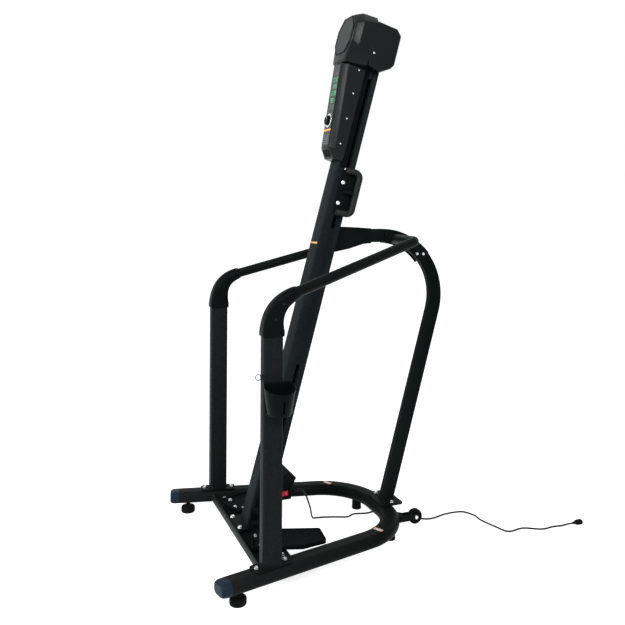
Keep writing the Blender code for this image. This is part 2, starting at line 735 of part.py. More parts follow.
def grips(leaning):
    plate_x = MAST_WIDTH / 2 + 0.0015
    plate_out = plate_x + 0.006
    middle = (GRIP_LOW + GRIP_HIGH) / 2
    bolt_middle = (GRIP_SLIDER[0] + GRIP_SLIDER[1]) / 2 - 0.005
    for name, hand in SIDES:
        bend = [(hand * (plate_x + 0.004), GRIP_INNER + 0.010, GRIP_HIGH),
                (hand * GRIP_STAND_OFF, GRIP_INNER + 0.010, GRIP_HIGH),
                (hand * GRIP_STAND_OFF, GRIP_OUTER, GRIP_HIGH),
                (hand * GRIP_STAND_OFF, GRIP_OUTER, GRIP_LOW),
                (hand * GRIP_STAND_OFF, GRIP_INNER + 0.010, GRIP_LOW),
                (hand * (plate_x + 0.004), GRIP_INNER + 0.010, GRIP_LOW)]
        radii = (GRIP_END_BEND, GRIP_BEND, GRIP_BEND, GRIP_END_BEND)
        bm = bmesh.new()
        sweep(bm, fillet(bend, radii, 4), circle(GRIP_TUBE / 2, 8), (0, 0, 1))
        grip = piece("grip_" + name, bm, leaning, "rubber")
        bm = bmesh.new()
        height = GRIP_HIGH - GRIP_LOW + 0.026
        low_n, high_n = GRIP_PLATE
        levels = sorted((hand * plate_x, hand * plate_out))
        prism(bm, rounded(high_n - low_n, height, 0.008, middle=((low_n + high_n) / 2, middle)), 0, *levels)
        combine(grip, piece("grip_plate_" + name, bm, leaning, "powder", cutter=True), "UNION")
        bm = bmesh.new()
        spar = [(hand * (plate_x + 0.004), GRIP_INNER + 0.018, middle),
                (hand * GRIP_STAND_OFF, GRIP_INNER + 0.018, middle),
                (hand * GRIP_STAND_OFF, GRIP_OUTER, middle)]
        sweep(bm, fillet(spar, 0.012, 4), circle(0.009, 8), (0, 0, 1))
        combine(grip, piece("grip_spar_" + name, bm, leaning, "rubber", cutter=True), "UNION")
        bm = bmesh.new()
        stem(bm, hand, GRIP_SLIDER, plate_x, MAST_WIDTH / 2 - SHEET - RUNNING + GAP)
        combine(grip, piece("grip_stem_" + name, bm, leaning, "powder", cutter=True), "UNION")
        bm = bmesh.new()
        for step in (-1, 1):
            spot = (hand * plate_out, GRIP_INNER + 0.002, bolt_middle + step * GRIP_BOLT_PITCH / 2)
            lathe(bm, [(0.0115, -0.001), (0.0115, 0.002), (0.008, 0.005), (0.004, 0.006)], 12,
                  along("X", spot) @ Matrix.Diagonal((1, 1, hand, 1)))
        combine(grip, piece("grip_bolts_" + name, bm, leaning, "steel", cutter=True), "UNION")
        slider("grip_slider_" + name, hand, GRIP_SLIDER, leaning)


def pedal_outline(hand, inset=0.0):
    """The pedal's plan, turned out by the toe-out angle; right-hand side for hand = 1."""
    outer = PEDAL_INNER + PEDAL_WIDTH
    corners = [(PEDAL_INNER + inset, PEDAL_FRONT + inset), (outer - inset, PEDAL_FRONT + inset),
               (outer - inset, PEDAL_SHOULDER), (outer - PEDAL_TAPER - inset, PEDAL_REAR + PEDAL_POINT - inset),
               (PEDAL_INNER + inset, PEDAL_REAR - inset)]
    turned = []
    for e, d in soften(corners, 0.014 - inset):
        turned.append((hand * (e * math.cos(PEDAL_TOE_OUT) + d * math.sin(PEDAL_TOE_OUT)),
                       d * math.cos(PEDAL_TOE_OUT) - e * math.sin(PEDAL_TOE_OUT)))
    return turned


def pedals(machine, leaning):
    plate_x = MAST_WIDTH / 2 + 0.0015
    plate_out = plate_x + 0.006
    arm_top = PEDAL_TOP - PEDAL_THICK - GAP
    arm_low = arm_top - ARM_THICK
    step_z = MAST_FOOT_TOP + 0.022
    web_x = MAST_FOOT_HALF + 0.008
    arm_end = PEDAL_BOLTS[1] + 0.022
    for name, hand in SIDES:
        bm = bmesh.new()
        levels = ((0.0, PEDAL_TOP - PEDAL_THICK), (0.0, PEDAL_TOP + PEDAL_RIM),
                  (0.005, PEDAL_TOP + PEDAL_RIM), (0.007, PEDAL_TOP))
        skin(bm, [[Vector((x, y, z)) for x, y in pedal_outline(hand, inset)] for inset, z in levels])
        pedal = piece("pedal_" + name, bm, machine, "plastic")
        bm = bmesh.new()
        outline = [(plate_x, step_z + 0.050), (plate_out, step_z + 0.050), (plate_out, step_z),
                   (web_x + ARM_THICK, step_z), (web_x + ARM_THICK, arm_top), (arm_end, arm_top),
                   (arm_end, arm_low), (web_x, arm_low), (web_x, step_z - ARM_THICK),
                   (plate_x, step_z - ARM_THICK)]
        prism(bm, [(hand * x, z) for x, z in outline], 1, -0.012, 0.060)
        arm = piece("pedal_arm_" + name, bm, machine, "powder")
        bm = bmesh.new()
        box(bm, *sided(hand, (plate_x, 0.014, PEDAL_SLIDER[0] - 0.036),
                       (plate_out - 0.0005, 0.068, PEDAL_SLIDER[1] + 0.015)))
        combine(arm, piece("pedal_plate_" + name, bm, leaning, "powder", cutter=True), "UNION")
        bm = bmesh.new()
        stem(bm, hand, PEDAL_SLIDER, plate_x, MAST_WIDTH / 2 - SHEET - 0.003)
        combine(arm, piece("pedal_stem_" + name, bm, leaning, "powder", cutter=True), "UNION")
        bm = bmesh.new()
        for x in PEDAL_BOLTS:
            button_screw(bm, Matrix.Translation((hand * x, 0.015, PEDAL_TOP)), 0.009, 0.005)
        combine(pedal, piece("pedal_bolts_" + name, bm, machine, "steel", cutter=True), "UNION")
        slider("pedal_slider_" + name, hand, PEDAL_SLIDER, leaning, arm)


def drive(leaning):
    """Belts, pulleys and axles inside the mast; the flywheel turns on the top axle."""
    flange = 0.0012
    half = BELT_WIDTH / 2 + GAP
    bore = AXLE_RADIUS + 0.0004
    wheel = [(bore, -half - flange), (PULLEY_FLANGE, -half - flange), (PULLEY_FLANGE, -half),
             (PULLEY_RADIUS, -half), (PULLEY_RADIUS, half), (PULLEY_FLANGE, half),
             (PULLEY_FLANGE, half + flange), (bore, half + flange)]
    for name, hand in SIDES:
        for level, height in (("top", TOP_PULLEY), ("bottom", BOTTOM_PULLEY)):
            middle = (hand * BELT_X, PULLEY_MIDDLE, height)
            bm = bmesh.new()
            lathe(bm, wheel, 16, along("X", middle), closed=True)
            piece(f"{level}_pulley_{name}", bm, leaning, "cast", pivot=middle)
        rows = []
        for height, first in ((TOP_PULLEY, 0.0), (BOTTOM_PULLEY, math.pi)):
            for step in range(9):
                angle = first + math.pi * step / 8
                row = []
                for radius, across in ((BELT_INNER, -1), (BELT_INNER, 1),
                                       (BELT_INNER + BELT_THICK, 1), (BELT_INNER + BELT_THICK, -1)):
                    row.append(Vector((hand * BELT_X + across * BELT_WIDTH / 2,
                                       PULLEY_MIDDLE + radius * math.cos(angle),
                                       height + radius * math.sin(angle))))
                rows.append(row)
        bm = bmesh.new()
        skin(bm, rows, loop=True)
        piece("drive_belt_" + name, bm, leaning, "rubber")
    bm = bmesh.new()
    reach = MAST_WIDTH / 2 - SHEET - GAP
    rod(bm, AXLE_RADIUS, -reach, reach, "X", (0, PULLEY_MIDDLE, BOTTOM_PULLEY))
    piece("bottom_axle", bm, leaning, "steel")
    reach = CHEEK_OUT - CHEEK_THICK - GAP
    bm = bmesh.new()
    rod(bm, AXLE_RADIUS, -reach, reach, "X", (0, PULLEY_MIDDLE, TOP_PULLEY))
    piece("top_axle", bm, leaning, "steel")
    disc, hub = FLYWHEEL_THICK / 2, BELT_X - half - flange - 0.001
    outline = [(bore, -hub), (0.018, -hub), (0.018, -0.004), (0.050, -0.004), (0.050, -disc),
               (FLYWHEEL_RADIUS, -disc)]
    outline += [(r, -h) for r, h in reversed(outline)]
    middle = (0, PULLEY_MIDDLE, TOP_PULLEY)
    bm = bmesh.new()
    lathe(bm, outline, 22, along("X", middle), closed=True)
    piece("flywheel", bm, leaning, "cast", pivot=middle)
    flywheel_bracket(leaning)
    pivot = (0, *BRAKE_PIVOT)
    reach = CHEEK_OUT - RUNNING
    n, s = BRAKE_PIVOT
    bm = bmesh.new()
    box(bm, (-0.018, n - 0.007, s - 0.008), (0.018, n + 0.002, s + 0.100))
    arm = piece("brake_arm", bm, leaning, "steel", pivot=pivot)
    bm = bmesh.new()
    rod(bm, 0.0035, -reach, reach, "X", pivot, 8)
    combine(arm, piece("brake_pin", bm, leaning, "steel", cutter=True), "UNION")
    bm = bmesh.new()
    for low in (s + 0.028, s + 0.062):
        box(bm, (-0.012, n + 0.001, low), (0.012, n + 0.006, low + 0.020))
    combine(arm, piece("brake_magnets", bm, leaning, "cast", cutter=True), "UNION")


def flywheel_bracket(leaning):
    """Two cheeks and a web that stand in the mast's open top and carry axle and brake."""
    front = BRAKE_PIVOT[0] - 0.010
    wall = SHEET + 0.007
    outline = [(wall, MAST_TOP - 0.060), (0.076, MAST_TOP - 0.060), (0.076, TOP_PULLEY),
               (PULLEY_MIDDLE + 0.012, TOP_PULLEY + 0.022), (PULLEY_MIDDLE - 0.012, TOP_PULLEY + 0.022),
               (-0.030, BRAKE_PIVOT[1] + 0.022), (front, BRAKE_PIVOT[1] + 0.012),
               (front, MAST_TOP + 0.004), (wall, MAST_TOP + 0.004)]
    bm = bmesh.new()
    box(bm, (-CHEEK_OUT + 0.001, wall, MAST_TOP - 0.060), (CHEEK_OUT - 0.001, wall + 0.004, MAST_TOP - 0.012))
    bracket = piece("flywheel_bracket", bm, leaning, "steel")
    for name, hand in SIDES:
        bm = bmesh.new()
        prism(bm, outline, 0, *sorted((hand * CHEEK_OUT, hand * (CHEEK_OUT - CHEEK_THICK))))
        combine(bracket, piece("bracket_cheek_" + name, bm, leaning, "steel", cutter=True), "UNION")
        bm = bmesh.new()
        rod(bm, 0.0035 + RUNNING, hand * CHEEK_OUT - 0.01, hand * CHEEK_OUT + 0.01, "X", (0, *BRAKE_PIVOT), 10)
        combine(bracket, piece("bracket_hole_" + name, bm, leaning, "steel", cutter=True), "DIFFERENCE")


def hull(bm, points):
    """The convex body around the points and their mirror images across the middle."""
    corners = [bm.verts.new((hand * x, n, s)) for x, n, s in points for _, hand in SIDES]
    made = bmesh.ops.convex_hull(bm, input=corners)
    bmesh.ops.delete(bm, geom=[part for part in made["geom_interior"] if part.is_valid], context="VERTS")
    bmesh.ops.dissolve_limit(bm, angle_limit=math.radians(0.5), verts=bm.verts[:], edges=bm.edges[:])


def shrunk(points, wall, middle, opening=0.0):
    """Moves corners inwards by the wall; corners on the seam at n move out through the opening."""
    made = []
    for x, n, s in points:
        on_seam = abs(n - opening) < 2 * GAP
        towards = 1 if n > middle[0] else -1
        made.append((x - wall, n + towards * (wall if on_seam else -wall),
                     s - math.copysign(wall, s - middle[1])))
    return made


def mast_cut(target, name, leaning, low, high, front=-GAP):
    """Makes room for the mast in a cover."""
    bm = bmesh.new()
    box(bm, (-MAST_WIDTH / 2 - GAP, front, low), (MAST_WIDTH / 2 + GAP, MAST_DEPTH + GAP, high))
    combine(target, piece(name, bm, leaning, "plastic", cutter=True), "DIFFERENCE")


def head(leaning):
    low, high = HEAD_BOTTOM, HEAD_TOP
    middle = (HEAD_SEAM / 2 + HEAD_FRONT / 2, (low + high) / 2)
    front = [(0.050, HEAD_FRONT, low + 0.056), (HEAD_FACE_HALF, HEAD_FRONT, low + 0.096),
             (HEAD_FACE_HALF, HEAD_FRONT, high - 0.073), (0.046, HEAD_FRONT, high - 0.020),
             (HEAD_HALF, HEAD_SIDE_FRONT, low + 0.081), (HEAD_HALF, HEAD_SIDE_FRONT, high - 0.058),
             (HEAD_HALF, HEAD_SEAM, low + 0.021), (HEAD_HALF, HEAD_SEAM, high - 0.023),
             (0.066, HEAD_FRONT + 0.002, low + 0.001), (0.066, HEAD_FRONT + 0.030, low),
             (0.066, HEAD_SEAM, low), (0.060, HEAD_SIDE_FRONT, high - 0.002), (0.075, HEAD_SEAM, high)]
    bm = bmesh.new()
    hull(bm, front)
    shell = piece("head_front_shell", bm, leaning, "gloss")
    bm = bmesh.new()
    hull(bm, shrunk(front, SHEET, middle, HEAD_SEAM))
    combine(shell, piece("head_front_hollow", bm, leaning, "gloss", cutter=True), "DIFFERENCE")
    mast_cut(shell, "head_front_mast", leaning, low - 0.02, MAST_TOP)
    seam = HEAD_SEAM + GAP
    rear = [(HEAD_HALF, seam, low + 0.021), (HEAD_HALF, seam, high - 0.030),
            (HEAD_HALF, 0.100, high - 0.033), (HEAD_HALF, 0.118, high - 0.050),
            (HEAD_HALF, HEAD_REAR, high - 0.058), (HEAD_HALF, HEAD_REAR, low + 0.051),
            (HEAD_HALF, 0.112, low + 0.036), (HEAD_HALF, 0.065, low + 0.005)]
    bm = bmesh.new()
    hull(bm, rear)
    housing = piece("head_rear_housing", bm, leaning, "gloss")
    bm = bmesh.new()
    hull(bm, shrunk(rear, SHEET, (0.060, middle[1]), seam))
    combine(housing, piece("head_rear_hollow", bm, leaning, "gloss", cutter=True), "DIFFERENCE")
    mast_cut(housing, "head_rear_mast", leaning, low - 0.02, MAST_TOP + 0.002, -0.02)
    cover_screws(housing, "head_screws", leaning, HEAD_HALF, ((HEAD_SCREW[0], low + HEAD_SCREW[1]),))
    badge = [(0.045, low + 0.059), (HEAD_FACE_HALF - 0.003, low + 0.098), (HEAD_FACE_HALF - 0.003, high - 0.075),
             (0.042, high - 0.022)]
    outline = badge + [(-x, s) for x, s in reversed(badge)]
    bm = bmesh.new()
    prism(bm, outline, 1, HEAD_FRONT - GAP - 0.002, HEAD_FRONT - GAP)
    piece("badge_panel", bm, leaning, "gloss")


def console_front(s):
    """How far the console's sloping face is from the mast's front face."""
    return CONSOLE_FRONT - CONSOLE_SLOPE * (s - CONSOLE_FACE_LOW)


def sloping_plate(half, near, far, low, high):
    """A plate parallel to the console's face, between two distances behind it."""
    bm = bmesh.new()
    outline = [(console_front(low) + near, low), (console_front(low) + far, low),
               (console_front(high) + far, high), (console_front(high) + near, high)]
    prism(bm, outline, 0, -half, half)
    return bm


def console(leaning):
    top = HEAD_BOTTOM - 0.0015
    low = CONSOLE_BOTTOM
    points = []
    for s in (CONSOLE_FACE_LOW, top):
        points.append((CONSOLE_FACE_HALF, console_front(s), s))
        points.append((CONSOLE_HALF, console_front(s) + CONSOLE_CHAMFER, s))
    points += [(CONSOLE_HALF, CONSOLE_REAR, top), (CONSOLE_HALF, CONSOLE_REAR, low + 0.014),
               (0.050, -0.028, low + 0.002), (0.060, CONSOLE_REAR, low)]
    bm = bmesh.new()
    hull(bm, points)
    shell = piece("console_shell", bm, leaning, "plastic")
    inner = [(x - SHEET, min(n + SHEET, -0.004), s - math.copysign(SHEET, s - 1.9)) for x, n, s in points]
    bm = bmesh.new()
    hull(bm, inner)
    combine(shell, piece("console_hollow", bm, leaning, "plastic", cutter=True), "DIFFERENCE")
    mast_cut(shell, "console_mast", leaning, low - 0.02, top + 0.02)
    bm = bmesh.new()
    box(bm, (-0.040, -0.012, low + 0.012), (0.040, 0.006, top - 0.010))
    combine(shell, piece("console_opening", bm, leaning, "plastic", cutter=True), "DIFFERENCE")
    cover_screws(shell, "console_screws", leaning, CONSOLE_HALF, [(-0.019, s) for s in CONSOLE_SCREWS])
    face = piece("console_face", sloping_plate(CONSOLE_FACE_HALF - 0.003, -0.0015 - GAP, -GAP,
                                               CONSOLE_FACE_LOW + 0.008, top - 0.010), leaning, "gloss")
    tilt = math.atan(CONSOLE_SLOPE)
    middle = (0, console_front(KNOB_AT) - (0.0015 + 2 * GAP), KNOB_AT)
    place = Matrix.Translation(middle) @ Matrix.Rotation(math.pi / 2 + tilt, 4, "X")
    for name, target in (("shell", shell), ("face", face)):
        bm = bmesh.new()
        lathe(bm, [(0.0050, -0.02), (0.0050, 0.02)], 12, place)
        combine(target, piece("knob_hole_" + name, bm, leaning, "plastic", cutter=True), "DIFFERENCE")
    bm = bmesh.new()
    lathe(bm, [(0.0040, -0.016), (0.0040, 0), (KNOB_FLANGE - 0.001, 0), (KNOB_FLANGE, 0.001),
               (KNOB_FLANGE - 0.001, 0.004), (KNOB_RADIUS + 0.001, 0.0045), (KNOB_RADIUS, KNOB_TALL - 0.001),
               (KNOB_RADIUS - 0.0015, KNOB_TALL)], 24, place)
    knob = piece("resistance_knob", bm, leaning, "steel", pivot=middle)
    bm = bmesh.new()
    box(bm, (-0.0015, 0.004, KNOB_TALL - 0.002), (0.0015, KNOB_RADIUS - 0.002, KNOB_TALL + 0.0012), place)
    combine(knob, piece("knob_pointer", bm, leaning, "steel", cutter=True), "UNION")
    board = piece("console_board", sloping_plate(0.035, 0.014, 0.0156, KNOB_AT + 0.024, top - 0.045),
                  leaning, "board")
    parts = sloping_plate(0.028, SHEET + 2 * GAP, 0.0145, top - 0.130, top - 0.055)
    combine(board, piece("board_display", parts, leaning, "board", cutter=True), "UNION")


def power_box(parent):
    """A closed box behind the mast's foot with the rocker switch and the cord's gland."""
    def behind(z):
        return MAST_FRONT_Y + z * LEAN_SIN / LEAN_COS + MAST_DEPTH / LEAN_COS + 0.0008
    outline = [(behind(0.185), 0.185), (0.206, 0.185), (0.210, 0.236), (0.230, 0.272), (0.196, 0.306),
               (behind(0.262), 0.262)]
    inner = [(behind(0.185) - 0.004, 0.188), (0.203, 0.188), (0.207, 0.237), (0.226, 0.271),
             (0.196, 0.302), (behind(0.262) - 0.001, 0.259)]
    bm = bmesh.new()
    prism(bm, outline, 0, -BOX_HALF, BOX_HALF)
    body = piece("power_box", bm, parent, "plastic")
    bm = bmesh.new()
    prism(bm, inner, 0, SHEET - BOX_HALF, BOX_HALF - SHEET)
    combine(body, piece("power_box_hollow", bm, parent, "plastic", cutter=True), "DIFFERENCE")
    y, z = SWITCH_AT
    bm = bmesh.new()
    box(bm, (BOX_HALF - 0.010, y - SWITCH_LONG / 2 - SWITCH_ROOM, z - SWITCH_WIDE / 2 - GAP),
        (BOX_HALF + 0.010, y + SWITCH_LONG / 2 + SWITCH_ROOM, z + SWITCH_WIDE / 2 + GAP))
    combine(body, piece("switch_opening", bm, parent, "plastic", cutter=True), "DIFFERENCE")
    pivot = (BOX_HALF - 0.002, y, z)
    half = SWITCH_LONG / 2
    proud = BOX_HALF + 0.0008
    rise = SWITCH_LONG * math.tan(SWITCH_TURN) / 2
    bm = bmesh.new()
    prism(bm, [(proud + rise, y - half), (proud, y), (proud, y + half), (BOX_HALF - 0.006, y + half - 0.001),
               (BOX_HALF - 0.006, y - half + 0.001)], 2, z - SWITCH_WIDE / 2, z + SWITCH_WIDE / 2)
    piece("power_switch", bm, parent, "red", pivot=pivot)
    bm = bmesh.new()
    lathe(bm, [(0.0085, 0), (0.0085, 0.006), (0.0065, 0.007), (0.0065, 0.012), (0.0072, 0.013),
               (0.0062, 0.018), (0.0068, 0.019), (0.0058, 0.024), (0.0062, 0.025), (0.0052, GLAND_LONG)],
          14, along("Y", GLAND_AT))
    piece("cord_gland", bm, parent, "rubber")


def cup_plan(share, shrink=0.0):
    """D-shaped plan of the cup holder, from its floor (0) to its rim (1)."""
    half = CUP_FLOOR_HALF + (CUP_RIM_HALF - CUP_FLOOR_HALF) * share - shrink
    reach = CUP_REACH - 0.012 * (1 - share) - shrink
    back = BASE_HALF_SPREAD + POST_WIDTH / 2 + GAP
    points = [(back + shrink, CUP_Y - half * 0.88)]
    for step in range(13):
        angle = math.pi * (step / 12 - 0.5)
        points.append((back + CUP_BACK + (reach - CUP_BACK) * math.cos(angle), CUP_Y + half * math.sin(angle)))
    points.append((back + shrink, CUP_Y + half * 0.88))
    return points


def cup_holder(parent):
    back = BASE_HALF_SPREAD + POST_WIDTH / 2 + GAP
    outer, inner = [], []
    for row, shrink, floor, lift in ((outer, 0.0, CUP_FLOOR_Z, 0.0), (inner, CUP_WALL, CUP_FLOOR_Z + 0.004, 0.02)):
        row.append([Vector((x, y, floor)) for x, y in cup_plan(0.0, shrink)])
        row.append([Vector((x, y, CUP_RIM_Z + lift - (x - back) * CUP_RIM_FALL)) for x, y in cup_plan(1.0, shrink)])
    bm = bmesh.new()
    skin(bm, outer)
    cup = piece("cup_holder", bm, parent, "plastic")
    bm = bmesh.new()
    skin(bm, inner)
    combine(cup, piece("cup_hollow", bm, parent, "plastic", cutter=True), "DIFFERENCE")
    bm = bmesh.new()
    box(bm, (back + CUP_REACH - 0.030, CUP_Y - 0.0035, 0.687), (back + CUP_REACH + 0.02, CUP_Y + 0.0035, 0.733))
    combine(cup, piece("cup_slot", bm, parent, "plastic", cutter=True), "DIFFERENCE")


def hook_ring(parent):
    """A wire eye on a small seat, on the front of the right post."""
    front = -POST_DEPTH / 2 - GAP
    bm = bmesh.new()
    box(bm, (BASE_HALF_SPREAD - 0.006, front - 0.005, RING_Z - 0.010), (BASE_HALF_SPREAD + 0.006, front, RING_Z + 0.010))
    seat = piece("hook_ring", bm, parent, "steel")
    path = []
    for x, z in circle(RING_RADIUS, 14):
        path.append((BASE_HALF_SPREAD, front - 0.003 - RING_RADIUS + x, RING_Z + z))
    bm = bmesh.new()
    sweep(bm, path, circle(0.0016, 8), (1, 0, 0), loop=True)
    combine(seat, piece("hook_eye", bm, parent, "steel", cutter=True), "UNION")


def feet(parent):
    top = BASE_TOP - BASE_HEIGHT - GAP
    for name, hand in SIDES:
        place = (hand * FOOT_X, FOOT_Y, 0)
        bm = bmesh.new()
        lathe(bm, [(FOOT_RADIUS - 0.003, 0), (FOOT_RADIUS, 0.004), (FOOT_RADIUS, 0.022), (FOOT_RADIUS - 0.004, 0.027),
                   (0.013, 0.029), (0.013, top)], 20, along("Z", place))
        piece("levelling_foot_" + name, bm, parent, "rubber", pivot=place)
        bm = bmesh.new()
        lathe(bm, [(REAR_FOOT_RADIUS - 0.003, 0), (REAR_FOOT_RADIUS, 0.004), (REAR_FOOT_RADIUS - 0.002, top)], 18, along("Z", (hand * REAR_FOOT[0], REAR_FOOT[1], 0)))
        piece("rear_foot_" + name, bm, parent, "rubber")


def wheels(parent):
    """Transport wheels that meet the floor when the machine is tipped back."""
    inner = WHEEL_WIDTH / 2 + RUNNING
    outer = inner + 0.003
    start = BASE_REAR_Y + BASE_WIDTH / 2 + GAP
    for name, hand in SIDES:
        x = hand * WHEEL_X
        outline = [(x - outer, BASE_REAR_Y), (x + outer, BASE_REAR_Y), (x + outer, WHEEL_Y + 0.012), (x + inner, WHEEL_Y + 0.012),
                   (x + inner, start + 0.004), (x - inner, start + 0.004), (x - inner, WHEEL_Y + 0.012),
                   (x - outer, WHEEL_Y + 0.012)]
        bm = bmesh.new()
        prism(bm, outline, 2, WHEEL_Z - 0.012, WHEEL_Z + 0.016)
        bracket = piece("wheel_bracket_" + name, bm, parent, "powder")
        bm = bmesh.new()
        sweep(bm, base_path(), rounded(BASE_WIDTH + 2 * GAP, BASE_HEIGHT + 2 * GAP, 0.024 + GAP), (1, 0, 0))
        combine(bracket, piece("tube_room_" + name, bm, parent, "powder", cutter=True), "DIFFERENCE")
        bm = bmesh.new()
        rod(bm, 0.0045, -0.05, 0.05, "X", (x, WHEEL_Y, WHEEL_Z))
        combine(bracket, piece("axle_bore_" + name, bm, parent, "powder", cutter=True), "DIFFERENCE")
        bm = bmesh.new()
        lathe(bm, [(0.0075, -outer - 0.004), (0.0075, -outer - GAP), (0.0040, -outer - GAP), (0.0040, outer + GAP),
                   (0.0075, outer + GAP), (0.0075, outer + 0.004)], 12, along("X", (x, WHEEL_Y, WHEEL_Z)))
        piece("wheel_axle_" + name, bm, parent, "steel")
    half = WHEEL_WIDTH / 2
    bore = 0.0044
    for name, hand in SIDES:
        place = (hand * WHEEL_X, WHEEL_Y, WHEEL_Z)
        bm = bmesh.new()
        lathe(bm, [(bore, -half), (0.011, -half), (0.012, 0.003 - half), (0.024, 0.003 - half), (0.025, -half),
                   (WHEEL_RADIUS - 0.003, -half), (WHEEL_RADIUS, 0.003 - half), (WHEEL_RADIUS, half - 0.003),
                   (WHEEL_RADIUS - 0.003, half), (0.025, half), (0.024, half - 0.003), (0.012, half - 0.003),
                   (0.011, half), (bore, half)], 16, along("X", place), closed=True)
        piece("transport_wheel_" + name, bm, parent, "rubber", pivot=place)


def cover_screws(target, name, leaning, half, places):
    """Small screw heads on both sides of a cover."""
    bm = bmesh.new()
    for _, hand in SIDES:
        turn = Matrix.Rotation(hand * math.pi / 2, 4, "Y")
        for n, s in places:
            button_screw(bm, Matrix.Translation((hand * half, n, s)) @ turn, 0.0045, 0.002)
    combine(target, piece(name, bm, leaning, "steel", cutter=True), "UNION")


def smooth_line(points, steps):
    """A Catmull-Rom curve through the points, stepped evenly between them."""
    points = [Vector(point) for point in points]
    ends = [2 * points[0] - points[1]] + points + [2 * points[-1] - points[-2]]
    line = []
    for a, b, c, d in zip(ends, ends[1:], ends[2:], ends[3:]):
        for step in range(steps):
            t = step / steps
            line.append(0.5 * (2 * b + (c - a) * t + (2 * a - 5 * b + 4 * c - d) * t ** 2
                               + (3 * b - a - 3 * c + d) * t ** 3))
    line.append(points[-1])
    return line


def evenly(line, count):
    """The same line with the given number of points, evenly spread along it."""
    lengths = [0.0]
    for a, b in zip(line, line[1:]):
        lengths.append(lengths[-1] + (b - a).length)
    made = []
    place = 0
    for k in range(count):
        target = lengths[-1] * k / (count - 1)
        while place < len(line) - 2 and lengths[place + 1] < target:
            place += 1
        span = lengths[place + 1] - lengths[place]
        made.append(line[place].lerp(line[place + 1], (target - lengths[place]) / span))
    return made


def cord(parent):
    floor = CORD_DIAMETER / 2 + GAP
    start = Vector(GLAND_AT) + Vector((0, GLAND_LONG + GAP, 0))
    route = [start, start + Vector((0, 0.024, 0)), (-0.014, 0.292, 0.176), (-0.060, 0.335, 0.090),
             (-0.108, 0.365, 0.022), (-0.131, 0.395, floor), (-0.116, 0.460, floor), (-0.091, 0.530, floor),
             (-0.107, 0.572, floor), (-0.094, 0.632, floor), (-0.097, 0.702, floor), (-0.030, 0.782, floor),
             (0.046, 0.8365, floor), (0.064, 0.886, floor), (0.045, 0.971, floor), (0.052, 1.052, floor),
             (0.104, 1.084, floor), (0.160, 1.084, floor), (0.236, 1.104, floor), (0.300, 1.130, floor),
             (0.296, 1.210, floor), (0.334, 1.282, floor), (0.333, 1.346, floor), (0.346, 1.384, 0.0085),
             (0.349, CORD_END_Y - 0.026, PLUG_Z), (0.349, CORD_END_Y, PLUG_Z)]
    data = bpy.data.curves.new("power_cord", "CURVE")
    data.dimensions = "3D"
    data.bevel_depth = CORD_DIAMETER / 2
    data.bevel_resolution = 2
    data.use_fill_caps = True
    line = evenly(smooth_line(route, 12), CORD_POINTS)
    for point in line:
        point.z = max(point.z, floor)
    spline = data.splines.new("POLY")
    spline.points.add(len(line) - 1)
    for slot, point in zip(spline.points, line):
        slot.co = (*point, 1.0)
    item = bpy.data.objects.new("power_cord", data)
    bpy.context.scene.collection.objects.link(item)
    item.parent = parent
    data.materials.append(finish("power_cord", *FINISHES["rubber"]))


def plug(parent):
    """A generic two-blade plug lying on the floor at the cord's end."""
    bm = bmesh.new()
    start = CORD_END_Y + GAP
    rows = []
    for y, wide, tall in ((0.0, 0.011, 0.010), (0.016, 0.014, 0.013), (0.020, 0.024, 0.020), (0.044, 0.026, 0.021),
                          (0.048, 0.023, 0.018)):
        rows.append([Vector((0.349 + a, start + y, PLUG_Z + b)) for a, b in rounded(wide, tall, 0.004, 2)])
    skin(bm, rows)
    body = piece("plug", bm, parent, "rubber")
    bm = bmesh.new()
    for step in (-1, 1):
        x = 0.349 + step * 0.00635
        box(bm, (x - 0.0008, start + 0.046, PLUG_Z - 0.003), (x + 0.0008, start + 0.064, PLUG_Z + 0.003))
    combine(body, piece("plug_blades", bm, parent, "steel", cutter=True), "UNION")


def main():
    clear_scene()
    machine = empty("machine", location=(-MIDDLE_X, -MIDDLE_Y, 0))
    leaning = empty("mast_frame", machine, (0, MAST_FRONT_Y, 0), -MAST_LEAN)
    for build in (base_u_tube, base_end_caps, platform, posts, handrails, elbow_covers, arch, mast_bracket,
                  rail_brackets, power_box, cup_holder, hook_ring, feet, wheels, cord, plug):
        build(machine)
    for build in (mast, pedals):
        build(machine, leaning)
    for build in (grips, drive, head, console):
        build(leaning)


main()
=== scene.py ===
"""Looks for a vertical climber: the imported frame, dressed with detailed pieces and finishes."""
import math

import bmesh
import bpy
from mathutils import Matrix, Vector


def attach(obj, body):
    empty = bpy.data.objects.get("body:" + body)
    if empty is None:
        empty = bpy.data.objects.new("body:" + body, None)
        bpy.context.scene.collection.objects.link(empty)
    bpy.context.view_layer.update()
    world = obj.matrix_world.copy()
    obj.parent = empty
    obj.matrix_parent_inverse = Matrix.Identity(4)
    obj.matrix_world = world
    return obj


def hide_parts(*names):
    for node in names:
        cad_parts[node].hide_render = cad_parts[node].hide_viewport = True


bl_info = {
    "name": "Vertical Climber Looks",
    "version": (1, 0, 0),
    "blender": (4, 5, 0),
    "location": "3D View > Sidebar > Climber",
    "description": "Dresses the climber's packed frame with detailed pieces and finishes",
    "category": "Object",
}

